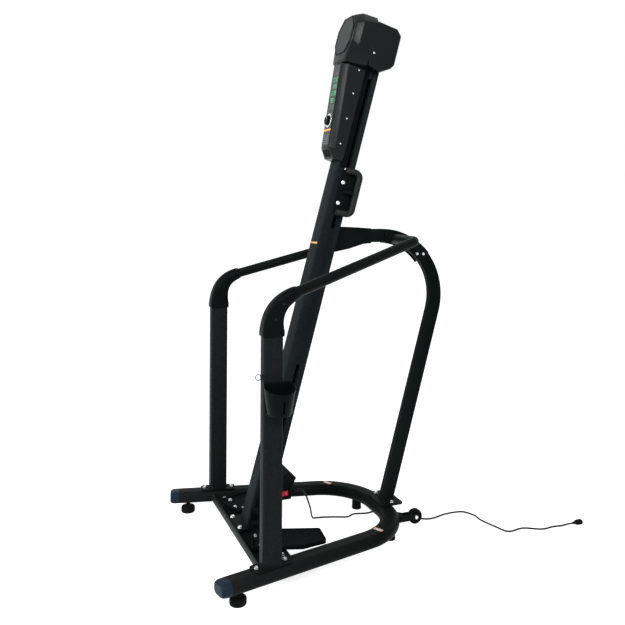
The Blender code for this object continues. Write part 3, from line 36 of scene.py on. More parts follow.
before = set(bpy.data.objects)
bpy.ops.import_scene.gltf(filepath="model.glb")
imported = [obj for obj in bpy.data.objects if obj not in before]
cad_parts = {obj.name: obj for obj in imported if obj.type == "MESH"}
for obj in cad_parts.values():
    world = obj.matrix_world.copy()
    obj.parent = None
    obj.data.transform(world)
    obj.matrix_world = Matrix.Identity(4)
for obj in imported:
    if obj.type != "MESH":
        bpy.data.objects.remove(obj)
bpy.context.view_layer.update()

# The machine's layout: X = 0 on the mast, Y = 0 on the front posts, moved as in the frame
MIDDLE = Vector((0.0154126, 0.3714970, 0.0))
MAST_LEAN = math.radians(15.0)
MAST_START_Y = -0.0177
LAYOUT = Matrix.Translation(-MIDDLE)
MAST = LAYOUT @ Matrix.Translation((0, MAST_START_Y, 0)) @ Matrix.Rotation(-MAST_LEAN, 4, "X")
SIDES = (("right", 1), ("left", -1))
UP = Vector((0, 0, 1))
GAP = 0.0003

# Base, posts and rails
TUBE_WALL = 0.0025
BASE_WIDTH = 0.085
BASE_HEIGHT = 0.052
BASE_CORNER = 0.024
BASE_TOP = 0.100
BASE_FRONT_Y = -0.173
BASE_REAR_Y = 0.645
BASE_SPREAD = 0.391
BASE_TOE_IN = math.radians(12.8)
BASE_BEND = 0.250
BASE_MIDDLE_Z = BASE_TOP - BASE_HEIGHT / 2
FLANGE_LOW = BASE_TOP + GAP
FLANGE_THICK = 0.006
FLANGE_TOP = FLANGE_LOW + FLANGE_THICK
CAP_LENGTH = 0.040
WHEEL_X = 0.130
WHEEL_Y = 0.757
WHEEL_Z = 0.062
WHEEL_WIDTH = 0.024
POST_WIDTH = 0.048
POST_DEPTH = 0.076
POST_CORNER = 0.008
POST_TOP = 0.965
ELBOW_PROUD = 0.005
RAIL_RADIUS = 0.021
RAIL_JOINT = Vector((0.390, 0.0985, 1.107))
RAIL_CORNER = Vector((0.229, 0.697, 1.281))

# Mast, in its own frame: X across, Y behind its front face, Z along it
MAST_WIDTH = 0.092
MAST_DEPTH = 0.088
MAST_CORNER = 0.008
MAST_TOP = 2.135
MAST_FOOT_TOP = 0.1023
SLOT_MIDDLE = 0.050
SLOT_WIDTH = 0.016
SLOT_ENDS = ((1.391, 2.105), (0.165, 0.795))
BAND_MIDDLE = 1.880
# Width of the strips of painted light on the rear of the mast's sides
LIT_BAND_WIDTH = 0.018
SLIDER_INNER = 0.0285
SLIDE_PLATE = MAST_WIDTH / 2 + 0.0015
SLIDE_PLATE_OUT = SLIDE_PLATE + 0.006

# Arch
ARCH_DEPTH = 0.060
ARCH_WIDTH = 0.050
ARCH_CORNER = 0.014
ARCH_TOP_Z = 1.296
ARCH_START_Y = 0.588
ARCH_BEND_Y = 0.650
ARCH_BEND = 0.275
ARCH_TURN = math.radians(105.5)

# Head and console, in the mast's frame
HEAD_LOW = 2.104
HEAD_HIGH = 2.348
HEAD_FRONT_HIGH = HEAD_HIGH - 0.008
HEAD_HALF = 0.098
HEAD_FACE_HALF = 0.086
HEAD_FRONT = -0.100
HEAD_SIDE_FRONT = -0.062
HEAD_SEAM = 0.004
CONSOLE_HALF = 0.065
CONSOLE_FACE_HALF = 0.040
CONSOLE_LOW = 1.682
CONSOLE_TOP = 2.1025
CONSOLE_BACK = 0.011
FACE_LOW = 1.727
FACE_SLOPE = 0.100
FACE_TILT = math.atan(FACE_SLOPE)
FACE_THICK = 0.0018
PRINT_LIFT = 0.00175
KNOB_S = 1.847

# Grips, pedals, cord and cup holder
GRIP_LOW = 1.464
GRIP_HIGH = 1.651
STAND_OFF = 0.075
PEDAL_TOP = 0.1025
PEDAL_THICK = 0.0095
PEDAL_TOE_OUT = math.radians(18.5)
PEDAL_INNER = 0.088
PEDAL_OUTER = 0.238
CORD_DIAMETER = 0.0075
CORD_LOW = CORD_DIAMETER / 2 + GAP
CORD_START = Vector((0, 0.2388, 0.200))
PLUG_PLACE = Vector((0.349, 1.440, 0.0115))
CUP_BACK_X = BASE_SPREAD + POST_WIDTH / 2 + GAP
CUP_REACH = 0.090
CUP_Y = 0.012
CUP_RIM = 0.786
CUP_FLOOR = 0.672


def colour_field(name, description, value):
    return bpy.props.FloatVectorProperty(name=name, description=description, subtype="COLOR", size=3,
                                         min=0, max=1, default=value)


def length_field(name, description, least, most, value):
    return bpy.props.FloatProperty(name=name, description=description, unit="LENGTH", min=least, max=most,
                                   default=value)


class ClimberColours(bpy.types.PropertyGroup):
    """Colours of the machine's finishes."""
    coat: colour_field("Frame coat", "Powder coat of the steel frame", (0.0036, 0.0047, 0.0046))
    mast: colour_field("Mast coat", "Coat of the mast, bluer than the frame's", (0.0042, 0.0074, 0.0083))
    plastic: colour_field("Console cover", "Moulded cover of the console", (0.0046, 0.0056, 0.0060))
    rubber: colour_field("Rubber", "Feet, wheels, gland, plug and switch frame", (0.0042, 0.0045, 0.0048))
    bolt: colour_field("Bolt heads", "Plated bolt and screw heads", (0.66, 0.67, 0.68))
    stripe: colour_field("Stripes", "Orange stripes on mast, console and base", (0.86, 0.42, 0.12))
    digits: colour_field("Display digits", "Lit figures of the display", (0.05, 0.55, 0.25))
    switch: colour_field("Rocker switch", "The red rocker of the power box", (0.55, 0.03, 0.05))
    floor: colour_field("Floor", "Floor and backdrop", (0.92, 0.92, 0.92))


class ClimberSizes(bpy.types.PropertyGroup):
    """Sizes of the small details."""
    bolt_head: length_field("Bolt head", "Width across the flats of the frame's bolt heads", 0.005, 0.03,
                            0.0135)
    coat_grain: length_field("Coat grain", "Size of the grain in the powder coat", 0.0001, 0.01, 0.0016)
    mould_grain: length_field("Mould grain", "Size of the grain in the moulded covers", 0.0001, 0.01, 0.0011)
    digit_height: length_field("Digit height", "Height of the display's figures", 0.002, 0.05, 0.020)


# Shader node groups: effects that several finishes share

def new_group(name, inputs, outputs):
    """An empty shader group of number sockets; returns it, its given inputs and its outputs to fill."""
    group = bpy.data.node_groups.new(name, "ShaderNodeTree")
    for label, value in inputs.items():
        socket = group.interface.new_socket(name=label, in_out="INPUT", socket_type="NodeSocketFloat")
        socket.default_value = value
    for label in outputs:
        group.interface.new_socket(name=label, in_out="OUTPUT", socket_type="NodeSocketFloat")
    return group, group.nodes.new("NodeGroupInput").outputs, group.nodes.new("NodeGroupOutput").inputs


def node(tree, kind, settings=None, **values):
    """Adds a node; settings are its own fields, and values its input sockets by name."""
    made = tree.nodes.new("ShaderNode" + kind)
    for field, value in (settings or {}).items():
        setattr(made, field, value)
    for label, value in values.items():
        made.inputs[label.replace("_", " ")].default_value = value
    return made


def feed(tree, slots, values):
    """Gives sockets their values: another socket, a number or a colour."""
    for slot, value in zip(slots, values):
        if isinstance(value, bpy.types.NodeSocket):
            tree.links.new(value, slot)
        elif isinstance(value, (int, float)):
            slot.default_value = value
        else:
            slot.default_value = (*value[:3], 1.0)


def math_node(tree, operation, *values, clamp=False):
    made = node(tree, "Math", {"operation": operation, "use_clamp": clamp})
    feed(tree, made.inputs, values)
    return made.outputs[0]


def mix_colour(tree, factor, first, second, blend="MIX"):
    """Mixes two colours, given as sockets or as values."""
    made = node(tree, "Mix", {"data_type": "RGBA", "blend_type": blend})
    feed(tree, (made.inputs[0], made.inputs[6], made.inputs[7]), (factor, first, second))
    return made.outputs[2]


def texture(tree, kind, scale=None, settings=None, **values):
    """Adds a texture on the object's own coordinates; its scale may come from a socket."""
    made = node(tree, "Tex" + kind, settings, **values)
    tree.links.new(node(tree, "TexCoord").outputs["Object"], made.inputs["Vector"])
    if scale is not None:
        tree.links.new(scale, made.inputs["Scale"])
    return made.outputs[0]


def grain_group():
    """Fine grain of a sprayed or moulded surface: its height, and a slow drift in shade."""
    group, given, made = new_group("Surface Grain", {"Size": 0.001, "Drift": 0.15}, ("Height", "Shade"))
    scale = math_node(group, "DIVIDE", 1.0, given["Size"])
    fine = texture(group, "Noise", scale, Detail=2.0, Roughness=0.55)
    cells = texture(group, "Voronoi", scale, {"feature": "SMOOTH_F1"}, Smoothness=0.8)
    slow = texture(group, "Noise", Scale=6.0, Detail=3.0, Roughness=0.6)
    group.links.new(math_node(group, "ADD", fine, math_node(group, "MULTIPLY", cells, 0.6)), made["Height"])
    shade = math_node(group, "MULTIPLY", math_node(group, "SUBTRACT", slow, 0.5), given["Drift"])
    group.links.new(math_node(group, "ADD", shade, 1.0), made["Shade"])
    return group


def wear_group():
    """Mask of edges where the finish is rubbed: 1 on worn edges, broken up by noise."""
    group, given, made = new_group("Edge Wear", {"Amount": 0.3, "Size": 0.01}, ("Mask",))
    scale = math_node(group, "DIVIDE", 1.0, given["Size"])
    patches = texture(group, "Noise", scale, Detail=4.0, Roughness=0.7)
    edge = node(group, "MapRange", {"clamp": True}, From_Min=0.52, From_Max=0.60)
    group.links.new(node(group, "NewGeometry").outputs["Pointiness"], edge.inputs["Value"])
    broken = math_node(group, "MULTIPLY", edge.outputs[0], patches)
    group.links.new(math_node(group, "MULTIPLY", broken, given["Amount"], clamp=True), made["Mask"])
    return group


def dust_group():
    """Mask of dust: thin on faces that look up, in soft patches."""
    group, given, made = new_group("Settled Dust", {"Amount": 0.1}, ("Mask",))
    apart = node(group, "SeparateXYZ")
    group.links.new(node(group, "NewGeometry").outputs["Normal"], apart.inputs[0])
    patches = texture(group, "Noise", Scale=22.0, Detail=6.0, Roughness=0.65)
    specks = texture(group, "Noise", Scale=420.0, Detail=2.0, Roughness=0.5)
    facing = math_node(group, "POWER", math_node(group, "MAXIMUM", apart.outputs["Z"], 0.0), 2.0)
    mask = math_node(group, "MULTIPLY", facing, math_node(group, "MULTIPLY", patches, specks))
    group.links.new(math_node(group, "MULTIPLY", mask, given["Amount"], clamp=True), made["Mask"])
    return group


def lines_group():
    """Fine lines that run one way, as on plated or turned metal."""
    group, given, made = new_group("Fine Lines", {"Size": 0.0006}, ("Height", "Shade"))
    stretch = node(group, "Mapping", Scale=(0.08, 1.0, 1.0))
    group.links.new(node(group, "TexCoord").outputs["Object"], stretch.inputs["Vector"])
    lines = node(group, "TexNoise", Detail=3.0, Roughness=0.7)
    group.links.new(stretch.outputs[0], lines.inputs["Vector"])
    group.links.new(math_node(group, "DIVIDE", 1.0, given["Size"]), lines.inputs["Scale"])
    group.links.new(lines.outputs[0], made["Height"])
    shade = math_node(group, "ADD", math_node(group, "MULTIPLY", lines.outputs[0], 0.4), 0.8)
    group.links.new(shade, made["Shade"])
    return group


GROUPS = {}


def place_group(tree, name, **values):
    """Puts a shared group in a material and returns its outputs; the groups are built once."""
    if not GROUPS:
        GROUPS.update(grain=grain_group(), wear=wear_group(), dust=dust_group(), lines=lines_group())
    made = tree.nodes.new("ShaderNodeGroup")
    made.node_tree = GROUPS[name]
    for label, value in values.items():
        made.inputs[label].default_value = value
    return made.outputs


# Finishes

RUBBED_EDGE = (0.06, 0.063, 0.066)
WEAR_PATCH = 0.009
DUST = (0.12, 0.12, 0.115)
DUST_ON_METAL = (0.35, 0.34, 0.32)


def new_material(name):
    """A material with its node tree and its Principled shader's inputs."""
    material = bpy.data.materials.new(name)
    material.use_nodes = True
    return material, material.node_tree, material.node_tree.nodes["Principled BSDF"].inputs


def bump(tree, shader, height, distance):
    """Gives a shader the small relief of a height socket."""
    made = node(tree, "Bump", Strength=1.0, Distance=distance)
    tree.links.new(height, made.inputs["Height"])
    tree.links.new(made.outputs["Normal"], shader["Normal"])


def coated(name, colour, roughness, grain, depth, wear, dust, specular=0.045, drift=0.25, metallic=0.0):
    """A sprayed or moulded finish: grain, a drift in shade, rubbed edges and a little dust."""
    material, tree, shader = new_material(name)
    surface = place_group(tree, "grain", Size=grain, Drift=drift)
    settled = place_group(tree, "dust", Amount=dust)
    shade = mix_colour(tree, 1.0, colour, surface["Shade"], "MULTIPLY")
    if wear:
        edge = place_group(tree, "wear", Amount=wear, Size=WEAR_PATCH)
        shade = mix_colour(tree, edge["Mask"], shade, RUBBED_EDGE)
    shade = mix_colour(tree, settled["Mask"], shade, DUST)
    tree.links.new(shade, shader["Base Color"])
    rough = math_node(tree, "MULTIPLY", surface["Shade"], roughness)
    rough = math_node(tree, "ADD", rough, math_node(tree, "MULTIPLY", settled["Mask"], 0.5), clamp=True)
    tree.links.new(rough, shader["Roughness"])
    bump(tree, shader, surface["Height"], depth)
    shader["Metallic"].default_value = metallic
    shader["Specular IOR Level"].default_value = specular
    return material


def plated(name, colour, roughness, line, depth, dust):
    """Bright plated or turned metal with fine lines."""
    material, tree, shader = new_material(name)
    lines = place_group(tree, "lines", Size=line)
    settled = place_group(tree, "dust", Amount=dust)
    shade = mix_colour(tree, 1.0, colour, lines["Shade"], "MULTIPLY")
    shade = mix_colour(tree, settled["Mask"], shade, DUST_ON_METAL)
    tree.links.new(shade, shader["Base Color"])
    tree.links.new(math_node(tree, "MULTIPLY", lines["Shade"], roughness), shader["Roughness"])
    bump(tree, shader, lines["Height"], depth)
    shader["Metallic"].default_value = 1.0
    return material


def printed(name, colour, glow=0.0):
    """Printed or lit marks: ink with faint mottling."""
    material, tree, shader = new_material(name)
    surface = place_group(tree, "grain", Size=0.0009, Drift=0.35)
    shade = mix_colour(tree, 1.0, colour, surface["Shade"], "MULTIPLY")
    tree.links.new(shade, shader["Base Color"])
    if glow:
        tree.links.new(shade, shader["Emission Color"])
        shader["Emission Strength"].default_value = glow
    tree.links.new(math_node(tree, "MULTIPLY", surface["Shade"], 0.45), shader["Roughness"])
    bump(tree, shader, surface["Height"], 0.00003)
    return material


def circuit_board(name):
    """Green board with tracks under the lacquer."""
    material, tree, shader = new_material(name)
    tracks = node(tree, "TexBrick", Scale=90.0, Mortar_Size=0.04, Color1=(0.01, 0.10, 0.04, 1),
                  Color2=(0.02, 0.14, 0.05, 1), Mortar=(0.10, 0.22, 0.08, 1))
    tree.links.new(node(tree, "TexCoord").outputs["Object"], tracks.inputs["Vector"])
    tree.links.new(tracks.outputs["Color"], shader["Base Color"])
    bump(tree, shader, tracks.outputs["Fac"], 0.00005)
    shader["Roughness"].default_value = 0.35
    return material


# Looks: the maker, the slot, the material's name and the maker's values in order.
# A word among the values names a field of the add-on's colours or sizes.
LOOKS = {
    "coat": (coated, "powder", "frame_coat", "coat", 0.42, "coat_grain", 0.00012, 0.30, 0.04, 0.020),
    "mast_coat": (coated, "powder", "mast_coat", "mast", 0.38, "coat_grain", 0.00012, 0.30, 0.04, 0.014),
    # painted light: a lighter copy of the frame coat, for light falling on the rear of the mast's sides
    "painted_light_coat": (coated, "powder", "painted_light_coat", (0.0125, 0.0145, 0.0142), 0.42, "coat_grain", 0.00012,
                   0.20, 0.04, 0.020),
    "rail_coat": (coated, "powder", "rail_coat", "coat", 0.40, "coat_grain", 0.00012, 0.10, 0.05),
    "cover": (coated, "plastic", "moulded_cover", "plastic", 0.30, "mould_grain", 0.00005, 0.12, 0.04, 0.12),
    "dull_cover": (coated, "plastic", "dull_cover", (0.0036, 0.0042, 0.0044), 0.40, "mould_grain", 0.00006,
                   0.12, 0.04, 0.03),
    "dark_cover": (coated, "plastic", "dark_cover", (0.0026, 0.0028, 0.0029), 0.42, "mould_grain", 0.00006,
                   0.08, 0.04),
    # painted reflection: the caps' blue tone stands in for the sheen on their domed faces
    "cap": (coated, "plastic", "end_cap", (0.0100, 0.0210, 0.0330), 0.40, "mould_grain", 0.00005, 0.08, 0.04,
            0.06),
    "tread": (coated, "plastic", "pedal_tread", (0.0052, 0.0060, 0.0063), 0.66, 0.0013, 0.00014, 0.15, 0.04,
              0.012),
    "head": (coated, "gloss", "head_cover", (0.0026, 0.0033, 0.0037), 0.25, "mould_grain", 0.00003, 0.08,
             0.04, 0.15, 0.12),
    # partly painted sheen: the badge's lighter grey-blue is its own grey with its sheen painted in
    "badge": (coated, "gloss", "badge_face", (0.009, 0.0105, 0.0115), 0.36, 0.0009, 0.00002, 0.05, 0.10,
              0.16),
    # painted sheen: the face's lighter bluish tone stands in for its reflection
    "face": (coated, "gloss", "console_face", (0.016, 0.019, 0.021), 0.26, 0.0009, 0.00002, 0.0, 0.10, 0.25),
    "rubber": (coated, "rubber", "rubber", "rubber", 0.62, 0.0009, 0.00006, 0.10, 0.10),
    # painted shade: a near-black with no specular, laid along the mast's slots, in the badge's groove and on
    # the console's underside
    "painted_shade": (coated, "rubber", "painted_slot_shade", (0.0016, 0.0018, 0.0024), 0.55, 0.0012, 0.00005, 0.0, 0.02),
    "grip": (coated, "rubber", "grip_rubber", (0.0135, 0.0150, 0.0147), 0.42, 0.0012, 0.00008, 0.12, 0.05,
             0.10),
    "cord": (coated, "rubber", "cord_jacket", (0.006, 0.006, 0.006), 0.42, 0.0006, 0.00003, 0.0, 0.05),
    "belt": (coated, "rubber", "belt", (0.014, 0.014, 0.015), 0.70, 0.0007, 0.00010, 0.2, 0.10),
    "dark_steel": (coated, "steel", "blackened_steel", (0.016, 0.017, 0.018), 0.38, 0.0010, 0.00004, 0.25,
                   0.10, 0.045, 0.25, 0.6),
    "red": (coated, "red", "red_rocker", "switch", 0.25, 0.0008, 0.00002, 0.0, 0.03),
    "bolt": (plated, "steel", "plated_bolt", "bolt", 0.30, 0.0006, 0.00002, 0.05),
    "chrome": (plated, "steel", "chromed_ring", (0.80, 0.80, 0.82), 0.10, 0.0009, 0.000008, 0.02),
    "machined": (plated, "steel", "turned_iron", (0.20, 0.20, 0.21), 0.38, 0.0005, 0.00004, 0.05),
    "stripe": (printed, "powder", "stripe_ink", "stripe"),
    "white_ink": (printed, "gloss", "white_ink", (0.62, 0.63, 0.64)),
    "grey_ink": (printed, "gloss", "grey_ink", (0.16, 0.165, 0.17)),
    "digits": (printed, "gloss", "lit_digits", "digits", 0.35),
    "board": (circuit_board, "plastic", "circuit_board"),
}
FINISHES = {}


def field(value):
    """The value itself, or the add-on's field that a word names."""
    if not isinstance(value, str):
        return value
    scene = bpy.context.scene
    fields = scene.climber_sizes if value in ClimberSizes.__annotations__ else scene.climber_colours
    return getattr(fields, value)


def finish(look):
    """The look's material, made once."""
    if look not in FINISHES:
        maker, _, name, *values = LOOKS[look]
        FINISHES[look] = maker(name, *map(field, values))
    return FINISHES[look]


# Shapes

def make(name, bm, look, body="frame", space=LAYOUT, nodes=(), edge=0.0, segments=2, sharp=32):
    """One piece of the model in the shared frame, with its finish, its body and what it stands for."""
    bmesh.ops.recalc_face_normals(bm, faces=bm.faces[:])
    bmesh.ops.transform(bm, matrix=space, verts=bm.verts[:])
    mesh = bpy.data.meshes.new(name)
    bm.to_mesh(mesh)
    bm.free()
    mesh.shade_smooth()
    mesh.set_sharp_from_angle(angle=math.radians(sharp))
    piece = bpy.data.objects.new(name, mesh)
    bpy.context.scene.collection.objects.link(piece)
    mesh.materials.append(finish(look))
    if edge:
        rounding = piece.modifiers.new("edges", "BEVEL")
        rounding.width = edge
        rounding.segments = segments
        rounding.limit_method = "ANGLE"
        rounding.angle_limit = math.radians(sharp)
        rounding.miter_outer = "MITER_ARC"
    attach(piece, body)
    if nodes:
        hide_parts(*nodes)
    return piece


def join_shapes(base, others, operation="DIFFERENCE"):
    """Cuts or unites bmeshes in code; returns the result as a bmesh."""
    def as_object(bm):
        bmesh.ops.recalc_face_normals(bm, faces=bm.faces[:])
        mesh = bpy.data.meshes.new("shape")
        bm.to_mesh(mesh)
        bm.free()
        item = bpy.data.objects.new("shape", mesh)
        bpy.context.scene.collection.objects.link(item)
        return item
    target = as_object(base)
    tools = [as_object(other) for other in others]
    for tool in tools:
        step = target.modifiers.new("step", "BOOLEAN")
        step.operation = operation
        step.solver = "EXACT"
        step.object = tool
    evaluated = target.evaluated_get(bpy.context.evaluated_depsgraph_get())
    result = bmesh.new()
    result.from_mesh(evaluated.to_mesh())
    evaluated.to_mesh_clear()
    for item in [target] + tools:
        mesh = item.data
        bpy.data.objects.remove(item, do_unlink=True)
        bpy.data.meshes.remove(mesh)
    bmesh.ops.dissolve_limit(result, angle_limit=math.radians(0.3), verts=result.verts[:],
                             edges=result.edges[:])
    return result


# Each shape below makes a new bmesh, or adds to the one that it is given

def box(low, high, place=Matrix(), bm=None):
    bm = bmesh.new() if bm is None else bm
    size = [b - a for a, b in zip(low, high)]
    middle = [(a + b) / 2 for a, b in zip(low, high)]
    bmesh.ops.create_cube(bm, size=1, matrix=place @ Matrix.Translation(middle) @ Matrix.Diagonal((*size, 1)))
    return bm


def skin(outer, inner=None, around=True, loop=False, bm=None):
    """Joins rows of points into one closed body, solid or with an inner wall."""
    bm = bmesh.new() if bm is None else bm
    outer = [[bm.verts.new(point) for point in row] for row in outer]
    inner = [[bm.verts.new(point) for point in row] for row in inner] if inner else None
    count = len(outer[0])
    steps = range(count if around else count - 1)
    for index in range(len(outer) if loop else len(outer) - 1):
        following = (index + 1) % len(outer)
        for rows in (outer, inner):
            if rows:
                for k in steps:
                    m = (k + 1) % count
                    bm.faces.new((rows[index][k], rows[index][m], rows[following][m], rows[following][k]))
        if inner and not around:
            for k in (0, count - 1):
                bm.faces.new((outer[index][k], inner[index][k], inner[following][k], outer[following][k]))
    if loop:
        return bm
    for index in (0, len(outer) - 1):
        if inner:
            for k in steps:
                m = (k + 1) % count
                bm.faces.new((outer[index][k], outer[index][m], inner[index][m], inner[index][k]))
        else:
            bm.faces.new(outer[index])
    return bm


def prism(outline, axis, low, high, place=Matrix(), bm=None):
    """Extrudes a flat outline from low to high along the axis: 0 is X, 1 is Y, 2 is Z."""
    rows = []
    for level in (low, high):
        row = []
        for first, second in outline:
            point = [first, second]
            point.insert(axis, level)
            row.append(place @ Vector(point))
        rows.append(row)
    return skin(rows, bm=bm)


def ring(place, level, radii):
    """Points about Z at a level, one for each radius in turn."""
    step = 2 * math.pi / len(radii)
    return [place @ Vector((r * math.cos(step * k), r * math.sin(step * k), level))
            for k, r in enumerate(radii)]


def lathe(profile, count=32, place=Matrix(), closed=False, bm=None):
    """Turns a profile of (radius, height) about Z; a closed profile makes a ring."""
    rings = [ring(place, level, [r] * count) for r, level in profile]
    return skin(list(zip(*rings)) if closed else rings, loop=closed, bm=bm)


def sweep(path, section, side, inner=None, loop=False):
    """Carries a section along a path; with an inner section it makes an open-ended tube."""
    stations = frames(path, side, loop)

    def rows(shape):
        return [[point + across * a + top * b for a, b in shape] for point, across, top in stations]
    return skin(rows(section), rows(inner) if inner else None, loop=loop)


def rounded(width, height, radius, steps=6, middle=(0, 0)):
    """Points of a rectangle with round corners."""
    points = []
    for corner, (sx, sy) in enumerate(((1, 1), (-1, 1), (-1, -1), (1, -1))):
        for step in range(steps + 1):
            angle = math.pi / 2 * (corner + step / steps)
            points.append((middle[0] + sx * (width / 2 - radius) + radius * math.cos(angle),
                           middle[1] + sy * (height / 2 - radius) + radius * math.sin(angle)))
    return points


def walls(width, height, radius, steps, wall, middle=(0, 0)):
    """The outer and the inner outline of a rectangular tube with round corners."""
    return (rounded(width, height, radius, steps, middle),
            rounded(width - 2 * wall, height - 2 * wall, radius - wall, steps, middle))


def circle(radius, count=24):
    return [(radius * math.cos(2 * math.pi * k / count), radius * math.sin(2 * math.pi * k / count))
            for k in range(count)]


def along(axis, middle, hand=1):
    """A matrix that turns Z to the X or Y axis, or leaves it; for hand -1 it turns to the other way."""
    turn = {"X": Matrix.Rotation(hand * math.pi / 2, 4, "Y"),
            "Y": Matrix.Rotation(-hand * math.pi / 2, 4, "X"), "Z": Matrix()}[axis]
    return Matrix.Translation(middle) @ turn


def side_places(hand, x, spots):
    """Matrices on a side face at the distance x, Z out of it, at each (y, z)."""
    return [along("X", (hand * x, y, z), hand) for y, z in spots]


def fillet(points, radius, steps=12):
    """Rounds the inner corners of a line of points with arcs, of one radius or one each."""
    points = [Vector(point) for point in points]
    radii = radius if isinstance(radius, tuple) else (radius,) * len(points)
    path = [points[0]]
    for before, corner, after, bend in zip(points, points[1:], points[2:], radii):
        back = (before - corner).normalized()
        ahead = (after - corner).normalized()
        half = back.angle(ahead) / 2
        centre = corner + (back + ahead).normalized() * (bend / math.sin(half))
        start = corner + back * (bend / math.tan(half)) - centre
        end = corner + ahead * (bend / math.tan(half)) - centre
        turn = start.angle(end)
        for step in range(steps + 1):
            share = step / steps
            path.append(centre + (start * math.sin((1 - share) * turn)
                                  + end * math.sin(share * turn)) / math.sin(turn))
    path.append(points[-1])
    return path


def soften(outline, radius, steps=5):
    """Rounds the corners of a closed flat outline."""
    corners = [Vector((*point, 0)) for point in outline]
    made = []
    for before, corner, after in zip(corners[-1:] + corners, corners, corners[1:] + corners[:1]):
        made += fillet([(before + corner) / 2, corner, (corner + after) / 2], radius, steps)[1:-1]
    return [(point.x, point.y) for point in made]


def frames(path, side, loop=False):
    """Carries a side direction along a path: point, side and top at each station."""
    path = [Vector(point) for point in path]
    side = Vector(side)
    made = []
    for index, point in enumerate(path):
        if loop:
            ahead = path[(index + 1) % len(path)] - path[index - 1]
        else:
            ahead = path[min(index + 1, len(path) - 1)] - path[max(index - 1, 0)]
        ahead.normalize()
        side = (side - ahead * side.dot(ahead)).normalized()
        made.append((point, side.copy(), side.cross(ahead)))
    return made


def spaced(points, spacing):
    """Evenly spaced points along a line, without its last one."""
    line = []
    for first, second in zip(points, points[1:]):
        steps = max(1, round((second - first).length / spacing))
        line += [first.lerp(second, k / steps) for k in range(steps)]
    return line


def bezier(start, start_way, end, end_way, steps):
    """Points of a smooth curve with the given end directions and handle lengths."""
    start, end = Vector(start), Vector(end)
    first, second = start + Vector(start_way), end - Vector(end_way)
    points = []
    for step in range(steps + 1):
        t = step / steps
        s = 1 - t
        points.append(start * s ** 3 + first * (3 * s * s * t) + second * (3 * s * t * t) + end * t ** 3)
    return points


def hull(points):
    """The convex body around the points."""
    bm = bmesh.new()
    made = bmesh.ops.convex_hull(bm, input=[bm.verts.new(point) for point in points])
    bmesh.ops.delete(bm, geom=[part for part in made["geom_interior"] if part.is_valid], context="VERTS")
    return bm


def round_hull(points, radius, wall=0.0):
    """The convex body around points given for the right half, with round corners; a wall makes it smaller."""
    sharp = hull([(hand * x, n, s) for x, n, s in points for _, hand in SIDES])
    bmesh.ops.dissolve_limit(sharp, angle_limit=math.radians(0.5), verts=sharp.verts[:], edges=sharp.edges[:])
    ball = bmesh.new()
    bmesh.ops.create_icosphere(ball, subdivisions=3, radius=radius - wall)
    places = []
    for corner in sharp.verts:
        spread = Matrix.Diagonal((0.02, 0.02, 0.02))
        pull = Vector((0, 0, 0))
        for face in corner.link_faces:
            pull -= radius * face.normal
            for row in range(3):
                spread[row] += face.normal[row] * face.normal
        places += [corner.co + spread.inverted() @ pull + offset.co for offset in ball.verts]
    sharp.free()
    ball.free()
    return hull(places)


def cover(points, seam, reach, radius, cuts, wall=0.003):
    """A hollow round body, open at its seam: its corners there reach on, and a cut trims them."""
    far = [(x, reach if abs(n - seam) < 2 * GAP else n, s) for x, n, s in points]
    return join_shapes(round_hull(far, radius), [round_hull(far, radius, wall), *cuts])


def mast_room(low, high, front=-GAP):
    """The space that the mast takes in a cover."""
    return box((-MAST_WIDTH / 2 - GAP, front, low), (MAST_WIDTH / 2 + GAP, MAST_DEPTH + GAP, high))


def sided(hand, low, high):
    """Corners of a box given for the right side, mirrored for the left one."""
    xs = sorted((hand * low[0], hand * high[0]))
    return (xs[0], low[1], low[2]), (xs[1], high[1], high[2])


def mast_point(behind, along_mast):
    """A point of the mast's middle plane in the machine's layout: its Y and Z."""
    y = MAST_START_Y + along_mast * math.sin(MAST_LEAN) + behind * math.cos(MAST_LEAN)
    return y, along_mast * math.cos(MAST_LEAN) - behind * math.sin(MAST_LEAN)


# Bolts, screws and welds

HEXAGON = [1 / math.cos((math.pi * k / 12 + math.pi / 6) % (math.pi / 3) - math.pi / 6) for k in range(24)]
WELD_STEP = 0.0035


def bolt_piece(name, places, body="frame", space=LAYOUT, across=None, washer=1.28):
    """Hexagon bolts, chamfered and dished, with washers, at the given matrices with Z out of the surface."""
    across = across or field("bolt_head")
    wide = across * washer / 2
    corner = across / 2 / math.cos(math.pi / 6)
    tall = across * 0.36
    bm = bmesh.new()
    for place in places:
        lathe([(wide, -0.0004), (wide, 0.0012), (wide - 0.0006, 0.0018), (across * 0.3, 0.0018)], 24, place,
              bm=bm)
        top = place @ Matrix.Translation((0, 0, 0.0018))
        skin([ring(top, level, [min(r * across / 2, corner * shrink) for r in HEXAGON])
              for level, shrink in ((-0.0004, 1.0), (tall * 0.82, 1.0), (tall, 0.86), (tall, 0.62),
                                    (tall * 0.80, 0.55))], bm=bm)
    return make(name, bm, "bolt", body, space)


def socket_screws(name, places, radius, tall, body="frame", space=LAYOUT, look="bolt"):
    """Round button heads with a hexagon socket, at the given matrices."""
    bm = bmesh.new()
    profile = [(1.0, -0.0004), (1.0, tall * 0.25), (0.93, tall * 0.6), (0.72, tall * 0.9), (0.48, tall)]
    for place in places:
        rows = [ring(place, level, [radius * share] * 24) for share, level in profile]
        rows += [ring(place, level, [radius * 0.36 * r for r in HEXAGON]) for level in (tall, tall * 0.35)]
        skin(rows, bm=bm)
    return make(name, bm, look, body, space)


